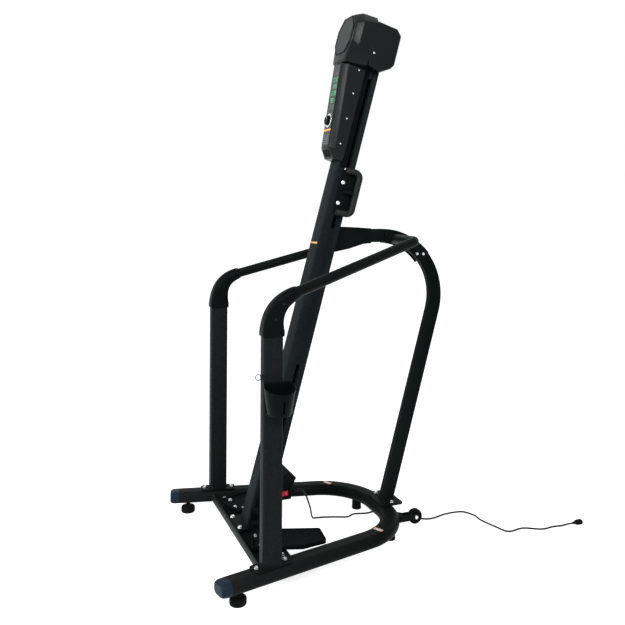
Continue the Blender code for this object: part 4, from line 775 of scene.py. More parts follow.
def weld(name, path, radius, side):
    """A rippled weld bead along a closed line."""
    rows = []
    for index, (point, across, top) in enumerate(frames(path, side, loop=True)):
        size = radius * (0.88 + 0.12 * (index % 2))
        rows.append([point + across * a * size + top * b * size for a, b in circle(1.0, 8)])
    return make(name, skin(rows, loop=True), "coat", sharp=180)


def foot_weld(name, outline, z, radius):
    """A weld bead around a flat outline at a height."""
    points = [Vector((x, y, z)) for x, y in outline]
    return weld(name, spaced(points + points[:1], WELD_STEP), radius, UP)


# Stage

LAMPS = (("key", (2.0, -4.0, 4.3), 0.9, 1.5, 135), ("fill", (4.0, -0.3, 3.65), 1.5, 1.3, 70),
         ("front", (0.1, -4.3, 2.5), 1.3, 1.0, 50))
CAMERA_PLACE = Vector((2.9579, -0.8662, 1.4499))
CAMERA_TURN = ((68.155, "Z"), (89.906, "X"), (0.33, "Z"))
CAMERA_LENS = 42.14
CAMERA_SHIFT = (-0.0017, -0.1766)


def link_new(name, data):
    """A new object in the scene for the data."""
    made = bpy.data.objects.new(name, data)
    bpy.context.scene.collection.objects.link(made)
    return made


def area_lamp(name, place, target_z, size, power):
    """A square lamp that looks at a point above the middle of the floor."""
    data = bpy.data.lights.new(name, "AREA")
    data.shape = "SQUARE"
    data.size = size
    data.energy = power
    lamp = link_new(name, data)
    lamp.location = place
    lamp.rotation_euler = (Vector(place) - UP * target_z).to_track_quat("Z", "Y").to_euler()


def mix_where_seen(tree, hidden, seen):
    """Chooses the second shader for camera rays and for rays that glossy or clear surfaces send out."""
    path = node(tree, "LightPath").outputs
    rays = math_node(tree, "MAXIMUM", path["Is Camera Ray"], path["Is Glossy Ray"])
    chosen = node(tree, "MixShader")
    feed(tree, chosen.inputs, (math_node(tree, "MAXIMUM", rays, path["Is Transmission Ray"]), hidden, seen))
    return chosen.outputs[0]


def white_world():
    world = bpy.data.worlds.new("studio")
    bpy.context.scene.world = world
    world.use_nodes = True
    tree = world.node_tree
    light = tree.nodes["Background"]
    light.inputs["Color"].default_value = (0.95, 0.97, 1.0, 1)
    light.inputs["Strength"].default_value = 0.42
    backdrop = node(tree, "Background", Strength=1.0, Color=(1, 1, 1, 1))
    tree.links.new(mix_where_seen(tree, light.outputs[0], backdrop.outputs[0]),
                   tree.nodes["World Output"].inputs["Surface"])


def floor_finish():
    """A pale floor that keeps the shadow and reads as white where it is fully lit."""
    material, tree, shader = new_material("floor")
    surface = place_group(tree, "grain", Size=0.02, Drift=0.01)
    shade = mix_colour(tree, 1.0, field("floor"), surface["Shade"], "MULTIPLY")
    tree.links.new(shade, shader["Base Color"])
    shader["Roughness"].default_value = 0.9
    shader["Specular IOR Level"].default_value = 0.0
    none = node(tree, "Emission", Strength=0.0)
    glow = node(tree, "Emission", Strength=0.80)
    both = node(tree, "AddShader")
    tree.links.new(tree.nodes["Principled BSDF"].outputs[0], both.inputs[0])
    tree.links.new(mix_where_seen(tree, none.outputs[0], glow.outputs[0]), both.inputs[1])
    tree.links.new(both.outputs[0], tree.nodes["Material Output"].inputs["Surface"])
    return material


class ClimberStage(bpy.types.Operator):
    """Set up the camera, the lights, the floor and the world"""
    bl_idname = "climber.stage"
    bl_label = "Stage"

    def execute(self, context):
        data = bpy.data.cameras.new("camera")
        data.lens = CAMERA_LENS
        data.sensor_width = 36.0
        data.shift_x, data.shift_y = CAMERA_SHIFT
        data.clip_end = 100
        camera = link_new("camera", data)
        camera.location = CAMERA_PLACE - MIDDLE
        turn = Matrix()
        for angle, axis in CAMERA_TURN:
            turn = turn @ Matrix.Rotation(math.radians(angle), 4, axis)
        camera.rotation_euler = turn.to_euler()
        context.scene.camera = camera
        bm = bmesh.new()
        bmesh.ops.create_circle(bm, cap_ends=True, segments=64, radius=40)
        mesh = bpy.data.meshes.new("floor")
        bm.to_mesh(mesh)
        bm.free()
        floor = link_new("floor", mesh)
        floor.location.z = -0.0004
        mesh.materials.append(floor_finish())
        for lamp in LAMPS:
            area_lamp(*lamp)
        white_world()
        context.scene.view_settings.view_transform = "Standard"
        return {"FINISHED"}


# Cord, gland and plug

def smooth_line(points, steps):
    """A smooth curve through the points, stepped evenly between them."""
    points = [Vector(point) for point in points]
    ends = [2 * points[0] - points[1]] + points + [2 * points[-1] - points[-2]]
    line = []
    for a, b, c, d in zip(ends, ends[1:], ends[2:], ends[3:]):
        for step in range(steps):
            t = step / steps
            line.append(0.5 * (2 * b + (c - a) * t + (2 * a - 5 * b + 4 * c - d) * t ** 2
                               + (3 * b - a - 3 * c + d) * t ** 3))
    line.append(points[-1])
    return line


class ClimberCord(bpy.types.Operator):
    """Lay the power cord with its gland and its plug"""
    bl_idname = "climber.cord"
    bl_label = "Power cord"

    def execute(self, context):
        fall = [CORD_START, (0, 0.2628, 0.200), (-0.014, 0.292, 0.176), (-0.060, 0.335, 0.090),
                (-0.108, 0.365, 0.022)]
        floor = [(-0.131, 0.395), (-0.116, 0.460), (-0.091, 0.530), (-0.107, 0.572), (-0.094, 0.632),
                 (-0.097, 0.702), (-0.030, 0.782), (0.046, 0.8365), (0.064, 0.886), (0.045, 0.971),
                 (0.052, 1.052), (0.104, 1.084), (0.160, 1.084), (0.236, 1.104), (0.300, 1.130),
                 (0.296, 1.210), (0.334, 1.282), (0.333, 1.346)]
        rise = [(0.346, 1.384, 0.0085), PLUG_PLACE - Vector((0, 0.026, 0)), PLUG_PLACE]
        line = smooth_line(fall + [(x, y, CORD_LOW) for x, y in floor] + rise, 12)
        data = bpy.data.curves.new("cord_run", "CURVE")
        data.dimensions = "3D"
        data.bevel_depth = CORD_DIAMETER / 2
        data.bevel_resolution = 4
        data.use_fill_caps = True
        spline = data.splines.new("POLY")
        spline.points.add(len(line) - 1)
        for slot, (x, y, z) in zip(spline.points, line):
            slot.co = (*(Vector((x, y, max(z, CORD_LOW))) - MIDDLE), 1.0)
        data.materials.append(finish("cord"))
        cord = link_new("cord_run", data)
        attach(cord, "frame")
        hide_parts("power_cord")
        self.gland()
        self.plug()
        self.blades()
        return {"FINISHED"}

    def gland(self):
        """A ribbed strain relief that narrows along the cord."""
        profile = [(0.0085, 0), (0.0085, 0.006), (0.0065, 0.007)]
        for step in range(7):
            level = 0.0085 + step * 0.0029
            wide = 0.0078 - step * 0.00035
            profile += [(wide - 0.0011, level), (wide, level + 0.0006), (wide, level + 0.0015),
                        (wide - 0.0011, level + 0.0021)]
        profile += [(0.0050, 0.0297), (0.0046, 0.0300)]
        bm = lathe(profile, 28, along("Y", (0, 0.2085, CORD_START.z)))
        return make("gland", bm, "rubber", nodes=("cord_gland",))

    def plug(self):
        x, y, z = PLUG_PLACE
        rows = []
        for deep, wide, tall in ((0.0, 0.0085, 0.0085), (0.0012, 0.0105, 0.0105), (0.004, 0.0105, 0.0105),
                                 (0.0045, 0.009, 0.009), (0.0075, 0.009, 0.009), (0.008, 0.012, 0.0115),
                                 (0.0115, 0.012, 0.0115), (0.012, 0.0105, 0.010), (0.015, 0.0105, 0.010),
                                 (0.0165, 0.018, 0.015), (0.020, 0.0235, 0.0195), (0.030, 0.0250, 0.0208),
                                 (0.044, 0.026, 0.021), (0.0468, 0.0253, 0.0203), (0.048, 0.023, 0.018)):
            rows.append([Vector((x + a, y + GAP + deep, z + b))
                         for a, b in rounded(wide, tall, min(wide, tall) * 0.45, 6)])
        return make("plug_body", skin(rows), "rubber", nodes=("plug",))

    def blades(self):
        bm = bmesh.new()
        near, far = PLUG_PLACE.y + GAP + 0.046, PLUG_PLACE.y + GAP + 0.064
        low, high = PLUG_PLACE.z - 0.003, PLUG_PLACE.z + 0.003
        outline = soften([(near, low), (far, low), (far, high), (near, high)], 0.0009)
        for x in (PLUG_PLACE.x - 0.00635, PLUG_PLACE.x + 0.00635):
            prism(outline, 0, x - 0.0007, x + 0.0007, bm=bm)
        return make("plug_blades", bm, "bolt")


# Base, platform, posts and arch

def leg_x(y):
    """Distance of a base leg's centre line from the middle."""
    return BASE_SPREAD - y * math.tan(BASE_TOE_IN)


def base_path(steps=28):
    corner, front, z = leg_x(BASE_REAR_Y), leg_x(BASE_FRONT_Y), BASE_MIDDLE_Z
    return fillet([(front, BASE_FRONT_Y, z), (corner, BASE_REAR_Y, z),
                   (-corner, BASE_REAR_Y, z), (-front, BASE_FRONT_Y, z)], BASE_BEND, steps)


class ClimberBase(bpy.types.Operator):
    """Build the U-shaped base tube with its end caps, feet, wheels and marks"""
    bl_idname = "climber.base"
    bl_label = "Base"

    def execute(self, context):
        outer, inner = walls(BASE_WIDTH, BASE_HEIGHT, BASE_CORNER, 10, TUBE_WALL)
        make("base_tube", sweep(base_path(), outer, (1, 0, 0), inner), "coat", nodes=("base_u_tube",))
        for name, hand in SIDES:
            self.end_cap(name, hand, outer)
            self.marks(name, hand)
            self.feet(name, hand)
            self.fork(name, hand)
            self.wheel(name, hand)
        return {"FINISHED"}

    def end_cap(self, name, hand, outline):
        """A cap with a groove near the tube and a domed end."""
        start = Vector((hand * leg_x(BASE_FRONT_Y), BASE_FRONT_Y, BASE_MIDDLE_Z))
        out = Vector((hand * math.sin(BASE_TOE_IN), -math.cos(BASE_TOE_IN), 0))
        across = UP.cross(out)
        stations = [(0.0, 0.985), (0.03, 1.0), (0.28, 1.0), (0.30, 0.985), (0.33, 0.985), (0.35, 0.998)]
        for angle in map(math.radians, (12, 24, 36, 48, 60, 70, 78, 84, 88)):
            stations.append((0.35 + 0.65 * math.sin(angle), 0.62 + 0.378 * math.cos(angle) ** 0.7))
        rows = []
        for share, size in stations:
            middle = start + out * (GAP + CAP_LENGTH * share)
            rows.append([middle + across * a * size + UP * b * size for a, b in outline])
        # The cap's bluish finish is painted reflection
        make("end_cap_" + name, skin(rows), "cap", nodes=("base_end_cap_" + name,))

    def marks(self, name, hand):
        """A small plain caution label printed across the base tube's bend."""
        seen = Vector((hand * 0.268, 0.503, BASE_MIDDLE_Z))
        middle = min(base_path(), key=lambda point: (point - seen).length)
        place = Matrix.Translation((middle.x, middle.y, BASE_TOP)) @ Matrix.Rotation(math.radians(29), 4, "Z")
        label = box((-0.012, -0.009, -0.0002), (0.012, 0.009, 0.0003), place)
        make("label_" + name, label, "white_ink")
        bm = bmesh.new()
        for side in (-0.0165, 0.0165):
            box((side - 0.004, -0.009, -0.0002), (side + 0.004, 0.009, 0.0003), place, bm)
        make("label_ends_" + name, bm, "stripe")

    def feet(self, name, hand):
        top = BASE_TOP - BASE_HEIGHT - GAP
        body = name + "_levelling_foot"
        place = along("Z", (hand * leg_x(-0.133), -0.133, 0))
        pad = [(0.0265, 0), (0.0290, 0.0006), (0.0310, 0.0030), (0.0315, 0.006), (0.0315, 0.020),
               (0.0305, 0.0240), (0.0275, 0.0268), (0.0200, 0.0282), (0.013, 0.029), (0.0125, 0.0292)]
        make("foot_pad_" + name, lathe(pad, 48, place), "rubber", body, nodes=("levelling_foot_" + name,))
        thread = [(0.0085 - 0.0008 * (k % 2), 0.0348 + k * 0.0006) for k in range(18)]
        stem = [(0.0125, 0.0290), (0.0125, 0.034), (0.0085, 0.0345)] + thread + [(0.0085, top)]
        make("foot_stem_" + name, lathe(stem, 24, place), "dark_steel", body)
        pad = [(0.0180, 0), (0.0208, 0.001), (0.022, 0.004), (0.0219, 0.010), (0.0210, 0.0115),
               (0.0210, 0.0135), (0.0214, 0.015), (0.0205, 0.038), (0.020, top - 0.0005), (0.0195, top)]
        bm = lathe(pad, 48, along("Z", (hand * 0.170, 0.615, 0)))
        make("rear_pad_" + name, bm, "rubber", nodes=("rear_foot_" + name,))

    def fork(self, name, hand):
        x = hand * WHEEL_X
        inner = WHEEL_WIDTH / 2 + 0.001
        outer = inner + 0.003
        start = BASE_REAR_Y + BASE_WIDTH / 2 + GAP
        end = WHEEL_Y + 0.012
        outline = [(x - outer, start - 0.02), (x + outer, start - 0.02), (x + outer, end), (x + inner, end),
                   (x + inner, start + 0.004), (x - inner, start + 0.004), (x - inner, end), (x - outer, end)]
        room = rounded(BASE_WIDTH + 2 * GAP, BASE_HEIGHT + 2 * GAP, BASE_CORNER + GAP, 6)
        bm = join_shapes(prism(outline, 2, WHEEL_Z - 0.012, WHEEL_Z + 0.016),
                         [sweep(base_path(12), room, (1, 0, 0))])
        make("wheel_fork_" + name, bm, "coat", nodes=("wheel_bracket_" + name,), edge=0.0012)
        end = [(0.0040, outer + GAP), (0.0075, outer + GAP), (0.0075, outer + 0.003),
               (0.0062, outer + 0.0040), (0.0001, outer + 0.0043)]
        pin = lathe([(r, -level) for r, level in end[::-1]] + end, 32, along("X", (x, WHEEL_Y, WHEEL_Z)))
        make("wheel_pin_" + name, pin, "bolt", nodes=("wheel_axle_" + name,))

    def wheel(self, name, hand):
        body = name + "_transport_wheel"
        place = along("X", (hand * WHEEL_X, WHEEL_Y, WHEEL_Z))
        half = WHEEL_WIDTH / 2
        side = [(0.0044, 0), (0.0105, 0), (0.0115, 0.001), (0.0120, 0.004), (0.0130, 0.0045),
                (0.0215, 0.0045), (0.0225, 0.003), (0.0232, 0.0002), (0.0240, 0), (0.0285, 0),
                (0.0305, 0.0009), (0.0317, 0.003), (0.032, 0.006)]
        profile = [(r, deep - half) for r, deep in side] + [(r, half - deep) for r, deep in reversed(side)]
        bm = lathe(profile, 56, place, closed=True)
        make("wheel_" + name, bm, "rubber", body, nodes=("transport_wheel_" + name,))
        bm = bmesh.new()
        for low, high in ((0.0012 - half, 0.0046 - half), (half - 0.0046, half - 0.0012)):
            for k in range(6):
                spoke = place @ Matrix.Rotation(math.pi * k / 3, 4, "Z")
                box((0.0120, -0.0012, low), (0.0222, 0.0012, high), spoke, bm)
        make("wheel_spokes_" + name, bm, "rubber", body, edge=0.0003)


class ClimberPlatform(bpy.types.Operator):
    """Build the tray between the legs"""
    bl_idname = "climber.platform"
    bl_label = "Platform"

    def execute(self, context):
        reach = (BASE_WIDTH / 2 + GAP) / math.cos(BASE_TOE_IN)
        front, rear, top = -0.040, 0.110, 0.084
        lip = [(0.0010, 0.066), (0, 0.068), (0, 0.0965), (0.0012, 0.0992), (0.0035, 0.100), (0.0060, 0.0985),
               (0.0066, 0.0950), (0.0068, 0.0872), (0.0078, 0.0848), (0.0100, top)]
        outline = [(front + y, z) for y, z in lip]
        outline += [(rear - 0.0040, top), (rear - 0.0012, 0.0828), (rear, 0.0800), (rear, 0.066),
                    (rear - 0.004, 0.066), (rear - 0.004, 0.078), (front + 0.004, 0.078),
                    (front + 0.004, 0.066)]
        bm = skin([[Vector((hand * (leg_x(y) - reach), y, z)) for y, z in outline] for _, hand in SIDES])
        make("tray", bm, "coat", nodes=("platform",), sharp=40)
        bolt_piece("tray_bolts", [Matrix.Translation((hand * 0.300, y, top)) for _, hand in SIDES
                                  for y in (0.008, 0.078)], across=0.014)
        return {"FINISHED"}


class ClimberPosts(bpy.types.Operator):
    """Build the two front posts with their flanges and bolts"""
    bl_idname = "climber.posts"
    bl_label = "Posts"

    def execute(self, context):
        for name, hand in SIDES:
            x = hand * BASE_SPREAD
            outer, inner = ([[Vector((a, b, level)) for a, b in outline]
                             for level in (FLANGE_LOW + FLANGE_THICK / 2, POST_TOP)]
                            for outline in walls(POST_WIDTH, POST_DEPTH, POST_CORNER, 8, TUBE_WALL, (x, 0)))
            make("post_tube_" + name, skin(outer, inner), "coat", nodes=("post_" + name,), sharp=40)
            place = Matrix.Translation((x, 0, 0)) @ Matrix.Rotation(hand * BASE_TOE_IN, 4, "Z")
            flange = prism(rounded(0.064, 0.156, 0.014, 10), 2, FLANGE_LOW, FLANGE_TOP, place)
            make("post_foot_" + name, flange, "coat", edge=0.0014)
            foot_weld("post_weld_" + name, rounded(POST_WIDTH, POST_DEPTH, POST_CORNER, 8, (x, 0)),
                      FLANGE_TOP, 0.0028)
            bolt_piece("post_bolts_" + name,
                       [place @ Matrix.Translation((0, y, FLANGE_TOP)) for y in (-0.0615, 0.0615)])
        return {"FINISHED"}


def elbow_curve(hand, steps):
    """Centre line through an elbow, from the post's top to the rail's joint."""
    way = (RAIL_CORNER - RAIL_JOINT).normalized() * 0.070
    return bezier((hand * BASE_SPREAD, 0, POST_TOP + 0.010), UP * 0.070,
                  (hand * RAIL_JOINT.x, *RAIL_JOINT.yz), (hand * way.x, *way.yz), steps)


class ClimberRails(bpy.types.Operator):
    """Build the handrails and the elbow covers that join them to the posts"""
    bl_idname = "climber.rails"
    bl_label = "Handrails"

    def execute(self, context):
        plate = ARCH_WIDTH / 2 + 2 * GAP + 0.004
        for name, hand in SIDES:
            curve = elbow_curve(hand, 16)
            y, z = RAIL_CORNER.yz
            run = fillet([curve[-1], (hand * RAIL_CORNER.x, y, z), (hand * plate, y, z)], 0.030, 20)
            path = [Vector((hand * BASE_SPREAD, 0, 0.925))] + curve + run[1:]
            bm = sweep(path, circle(RAIL_RADIUS, 40), (1, 0, 0), circle(RAIL_RADIUS - TUBE_WALL, 40))
            make("rail_" + name, bm, "rail_coat", nodes=("handrail_" + name,))
            self.elbow(name, hand)
        return {"FINISHED"}

    def elbow(self, name, hand):
        """Two half shells that meet in the plane of the bend, with collars at both ends."""
        below = [Vector((hand * BASE_SPREAD, 0, z))
                 for z in (0.950, 0.9512, 0.9530, 0.9600, POST_TOP + 0.002)]
        stations = frames(below + elbow_curve(hand, 32), (hand, 0, 0))
        start = len(below) - 1
        last = len(stations) - 1
        collars = {0: 0.0016, 1: 0.0005, last: 0.0018, last - 1: 0.0006}
        rim = RAIL_RADIUS + ELBOW_PROUD
        for part, face in (("outer", 1), ("inner", -1)):
            outer, inner = [], []
            for index, (point, across, top) in enumerate(stations):
                share = max(index - start, 0) / (last - start)
                half = POST_WIDTH / 2 + ELBOW_PROUD
                tall = POST_DEPTH / 2 + ELBOW_PROUD
                half += (rim - half) * share
                tall += (rim - tall) * share ** 0.8
                bulge = 1.0 - 0.78 * (1 - share)
                draw = collars.get(index, 0.0)
                for row, shrink in ((outer, draw), (inner, ELBOW_PROUD - 0.0008 - GAP * share)):
                    line = []
                    for step in range(25):
                        angle = math.pi * (step / 24 - 0.5)
                        seam = 0.0006 if row is outer and step in (0, 24) else 0.0
                        a = abs(math.cos(angle)) ** bulge * (half - shrink) + GAP
                        b = abs(math.sin(angle)) ** bulge * (tall - shrink) - seam
                        line.append(point + across * face * a + top * math.copysign(b, angle))
                    row.append(line)
            make(f"elbow_shell_{part}_{name}", skin(outer, inner, around=False), "dull_cover",
                 nodes=(f"elbow_{part}_{name}",), sharp=50)
        places = []
        for index in (8, 20):
            point, across, top = stations[start + index]
            half = POST_WIDTH / 2 + ELBOW_PROUD + (RAIL_RADIUS - POST_WIDTH / 2) * index / 32
            turn = Matrix((top, across.cross(top), across)).transposed().to_4x4()
            places.append(Matrix.Translation(point + across * (half + GAP - 0.0004)) @ turn)
        socket_screws("elbow_screws_" + name, places, 0.0048, 0.0022, look="dark_steel")


def arch_path(foot_z):
    """Centre line of the arch, from the mast bracket down to the given height."""
    centre = Vector((0, ARCH_BEND_Y, ARCH_TOP_Z - ARCH_BEND))
    path = [Vector((0, ARCH_START_Y, ARCH_TOP_Z))]
    for step in range(41):
        angle = ARCH_TURN * step / 40
        path.append(centre + Vector((0, math.sin(angle), math.cos(angle))) * ARCH_BEND)
    path.append(path[-1] + Vector((0, 1 / math.tan(ARCH_TURN), -1)) * (path[-1].z - foot_z))
    return path


class ClimberArch(bpy.types.Operator):
    """Build the rear arch, its flange, the mast bracket and the rail plates"""
    bl_idname = "climber.arch"
    bl_label = "Rear arch"

    def execute(self, context):
        outer, inner = walls(ARCH_WIDTH, ARCH_DEPTH, ARCH_CORNER, 8, TUBE_WALL)
        bm = join_shapes(sweep(arch_path(0.08), outer, (1, 0, 0), inner),
                         [box((-0.2, 0.5, 0.0), (0.2, 0.9, FLANGE_LOW + FLANGE_THICK / 2))])
        make("arch", bm, "coat", nodes=("arch_tube",), sharp=40)
        foot_y = arch_path(0.1033)[-1].y
        flange = prism(rounded(0.168, 0.108, 0.020, 10, (0, foot_y - 0.006)), 2, FLANGE_LOW, FLANGE_TOP)
        make("arch_plate", flange, "coat", edge=0.0014)
        ends = rounded(ARCH_WIDTH, ARCH_DEPTH / math.sin(ARCH_TURN), ARCH_CORNER, 8, (0, foot_y))
        foot_weld("arch_weld", ends, FLANGE_TOP, 0.0030)
        bolt_piece("arch_bolts", [Matrix.Translation((x, foot_y + y, FLANGE_TOP))
                                  for x, y in ((-0.060, -0.020), (0.059, -0.001))])
        self.bracket()
        self.rail_plates()
        return {"FINISHED"}

    def bracket(self):
        """A boxed gusset from the mast to the arch, with a collar around the arch's end."""
        end = ARCH_START_Y - GAP
        high, low = ARCH_TOP_Z + ARCH_DEPTH / 2, ARCH_TOP_Z - ARCH_DEPTH / 2
        outline = [mast_point(MAST_DEPTH + GAP, 1.409), (end - 0.040, high + 0.006), (end, high + 0.003),
                   (end, low - 0.003), (end - 0.040, low - 0.006), (end - 0.110, low - 0.026),
                   mast_point(MAST_DEPTH + GAP, 1.293)]
        make("gusset", prism(outline, 0, -0.032, 0.032), "coat", nodes=("mast_bracket",), edge=0.0045,
             segments=3, sharp=20)

    def rail_plates(self):
        """Curved plates on the arch's sides that carry the handrails' ends."""
        outline = []
        for radius, low, high in ((ARCH_BEND + 0.027, 2, 50), (ARCH_BEND - 0.035, 53, 2)):
            for step in range(17):
                angle = math.radians(low + (high - low) * step / 16)
                outline.append((ARCH_BEND_Y + radius * math.sin(angle),
                                ARCH_TOP_Z - ARCH_BEND + radius * math.cos(angle)))
        near = ARCH_WIDTH / 2 + GAP
        out = near + 0.004
        for name, hand in SIDES:
            bm = prism(outline, 0, *sorted((hand * near, hand * out)))
            make("rail_plate_" + name, bm, "coat", nodes=("rail_bracket_" + name,), edge=0.0010)
            places = side_places(hand, out, ((0.726, 1.269), (0.819, 1.211), (0.851, 1.210)))
            bolt_piece("rail_bolts_" + name, places, across=0.0105, washer=1.2)
            path = [Vector((hand * out, RAIL_CORNER.y + a, RAIL_CORNER.z + b))
                    for a, b in circle(RAIL_RADIUS, 64)]
            weld("rail_weld_" + name, path, 0.0026, (1, 0, 0))


class ClimberMast(bpy.types.Operator):
    """Build the slotted mast with its foot plate, its bolts and its printed stripe"""
    bl_idname = "climber.mast"
    bl_label = "Mast"

    def execute(self, context):
        half = MAST_DEPTH / 2
        foot = MAST_FOOT_TOP - 0.003
        lean_sin, lean_cos = math.sin(MAST_LEAN), math.cos(MAST_LEAN)

        def rows(shrink):
            shape = rounded(MAST_WIDTH - 2 * shrink, MAST_DEPTH - 2 * shrink, MAST_CORNER - shrink / 2, 8,
                            (0, half))
            low = [Vector((x, n, (foot + n * lean_sin) / lean_cos)) for x, n in shape]
            return [low, [Vector((x, n, MAST_TOP)) for x, n in shape]]
        cuts = []
        for low, high in SLOT_ENDS:
            outline = rounded(SLOT_WIDTH, high - low, 0.0078, 8, (SLOT_MIDDLE, (low + high) / 2))
            cuts.append(prism(outline, 0, -MAST_WIDTH, MAST_WIDTH))
        bm = join_shapes(skin(rows(0.0), rows(0.003)), cuts)
        make("mast_tube", bm, "mast_coat", space=MAST, nodes=("mast",), sharp=35)
        # Black strips ahead of the upper slots are painted shade on the mast's sides
        painted_shade = rounded(0.030, 0.444, 0.002, 4, (0.0265, BAND_MIDDLE))
        # Lighter bands behind the upper slots are painted light on the rear of the mast's sides
        band = rounded(LIT_BAND_WIDTH, 0.440, 0.002, 4, (MAST_DEPTH - 0.006 - LIT_BAND_WIDTH / 2, BAND_MIDDLE))
        for name, hand in SIDES:
            levels = sorted((hand * (MAST_WIDTH / 2 + 0.0002), hand * (MAST_WIDTH / 2 - 0.0002)))
            make("painted_slot_shade_" + name, prism(painted_shade, 0, *levels), "painted_shade", space=MAST)
            make("painted_light_band_" + name, prism(band, 0, *levels), "painted_light_coat", space=MAST)
        front, rear = mast_point(0, foot / lean_cos)[0] - 0.042, 0.110
        outline = rounded(0.144, rear - front, 0.010, 8, (0, (front + rear) / 2))
        make("mast_foot", prism(outline, 2, 0.0843, MAST_FOOT_TOP), "coat", edge=0.002)
        path = [(x, mast_point(n, (MAST_FOOT_TOP + n * lean_sin) / lean_cos)[0])
                for x, n in rounded(MAST_WIDTH, MAST_DEPTH, MAST_CORNER, 8, (0, half))]
        foot_weld("mast_weld", path, MAST_FOOT_TOP, 0.0034)
        bolt_piece("mast_bolts", [Matrix.Translation((hand * x, y, MAST_FOOT_TOP)) for _, hand in SIDES
                                  for x, y in ((0.055, -0.021), (0.060, 0.094))], across=0.015, washer=1.3)
        stripe = [(-0.034, 1.3100), (0.037, 1.3100), (0.037, 1.3185), (-0.034, 1.3160)]
        make("mast_stripe", prism(stripe, 1, -0.0004, 0.0002), "stripe", space=MAST)
        return {"FINISHED"}


# Head and console

class ClimberHead(bpy.types.Operator):
    """Build the head's two shells, its badge panel and its screws"""
    bl_idname = "climber.head"
    bl_label = "Head"

    def execute(self, context):
        low, high = HEAD_LOW, HEAD_FRONT_HIGH
        front = [(0.050, HEAD_FRONT, low + 0.056), (HEAD_FACE_HALF, HEAD_FRONT, low + 0.096),
                 (HEAD_FACE_HALF, HEAD_FRONT, high - 0.062), (0.046, HEAD_FRONT, high - 0.020),
                 (HEAD_HALF, HEAD_SIDE_FRONT, low + 0.081), (HEAD_HALF, HEAD_SIDE_FRONT, high - 0.046),
                 (HEAD_HALF, HEAD_SEAM, low + 0.021), (HEAD_HALF, HEAD_SEAM, high - 0.023),
                 (0.066, HEAD_FRONT + 0.002, low + 0.001), (0.066, HEAD_FRONT + 0.030, low),
                 (0.066, HEAD_SEAM, low), (0.060, HEAD_SIDE_FRONT, high - 0.002), (0.075, HEAD_SEAM, high)]
        cuts = (mast_room(low - 0.02, MAST_TOP), box((-0.2, HEAD_SEAM, low - 0.1), (0.2, 0.2, high + 0.1)))
        make("head_front", cover(front, HEAD_SEAM, HEAD_SEAM + 0.06, 0.013, cuts), "head", space=MAST,
             nodes=("head_front_shell",), edge=0.0014, sharp=50)
        self.panel(low, high)
        high = HEAD_HIGH
        seam = HEAD_SEAM + GAP
        side = [(seam, low + 0.021), (seam, high - 0.030), (0.100, high - 0.033), (0.118, high - 0.050),
                (0.126, high - 0.058), (0.126, low + 0.051), (0.112, low + 0.030), (0.065, low - 0.001)]
        rear = [(HEAD_HALF, n, s) for n, s in side]
        cuts = (mast_room(low - 0.02, MAST_TOP + 0.002, -0.02),
                box((-0.2, -0.2, low - 0.1), (0.2, seam, high + 0.1)))
        make("head_rear", cover(rear, seam, seam - 0.06, 0.009, cuts), "head", space=MAST,
             nodes=("head_rear_housing",), edge=0.0010, sharp=50)
        places = [place for _, hand in SIDES for place in side_places(hand, HEAD_HALF, ((0.016, 2.174),))]
        socket_screws("head_screws", places, 0.0045, 0.0022, space=MAST)
        return {"FINISHED"}

    def panel(self, low, high):
        """The plain eight-sided badge panel, with a black bead of painted shade around its face where its
        groove is.
        """
        half = HEAD_FACE_HALF - 0.005
        corners = [(0.045, low + 0.043), (half, low + 0.090), (half, high - 0.075), (0.042, high - 0.022)]
        outline = corners + [(-x, s) for x, s in reversed(corners)]
        middle = Vector((0, sum(s for _, s in outline) / len(outline)))
        back = HEAD_FRONT - GAP

        def drawn(n, inset):
            row = []
            for point in soften(outline, 0.006, 6):
                away = Vector(point) - middle
                x, s = away * (1 - inset / away.length) + middle
                row.append(Vector((x, n, s)))
            return row
        levels = ((0.0030, 0.0), (-0.0014, 0.0), (-0.002, 0.0006), (-0.002, 0.0046), (-0.0012, 0.0052))
        make("head_panel", skin([drawn(back + lift, inset) for lift, inset in levels]), "badge", space=MAST,
             nodes=("badge_panel",), sharp=25)
        # Painted shade: a black bead with no sheen stands in for the shade in the groove around the badge
        rim = sweep(drawn(back - 0.0020, 0.0026), circle(0.0016, 6), (0, 1, 0), loop=True)
        make("panel_groove_shade", rim, "painted_shade", space=MAST)


def console_front(s):
    """How far the console's sloping face is from the mast's front face."""
    return -0.0605 - FACE_SLOPE * (s - FACE_LOW)


def face_place(x, s, lift=0.0):
    """A matrix on the console's face: X across, Y up the face, Z out of it."""
    turn = Matrix.Rotation(math.pi / 2 + FACE_TILT, 4, "X")
    return Matrix.Translation((x, console_front(s), s)) @ turn @ Matrix.Translation((0, 0, lift))


def knob_hole():
    return lathe([(0.0050, -0.02), (0.0050, 0.02)], 24, face_place(0, KNOB_S, FACE_THICK))


DIGIT_BARS = {"0": "abcdef", "1": "bc", "2": "abged", "3": "abgcd", "4": "fgbc", "5": "afgcd", "6": "afgedc",
              "7": "abc", "8": "abcdefg", "9": "abcdfg", "-": "g"}


def digit(bm, sign, place, tall):
    """Seven-bar figure of the given height, standing on the place."""
    wide = tall * 0.52
    thick = tall * 0.115
    half = tall / 2
    levels = {"a": tall, "g": half, "d": 0}
    for bar in DIGIT_BARS[sign]:
        if bar in levels:
            y = levels[bar]
            reach = wide / 2 - thick * 0.7
            box((-reach, y - thick / 2, 0), (reach, y + thick / 2, 0.0003), place, bm)
        else:
            x = wide / 2 if bar in "bc" else -wide / 2
            y = (half if bar in "bf" else 0) + thick * 0.35
            box((x - thick / 2, y, 0), (x + thick / 2, y + half - thick * 0.7, 0.0003), place, bm)


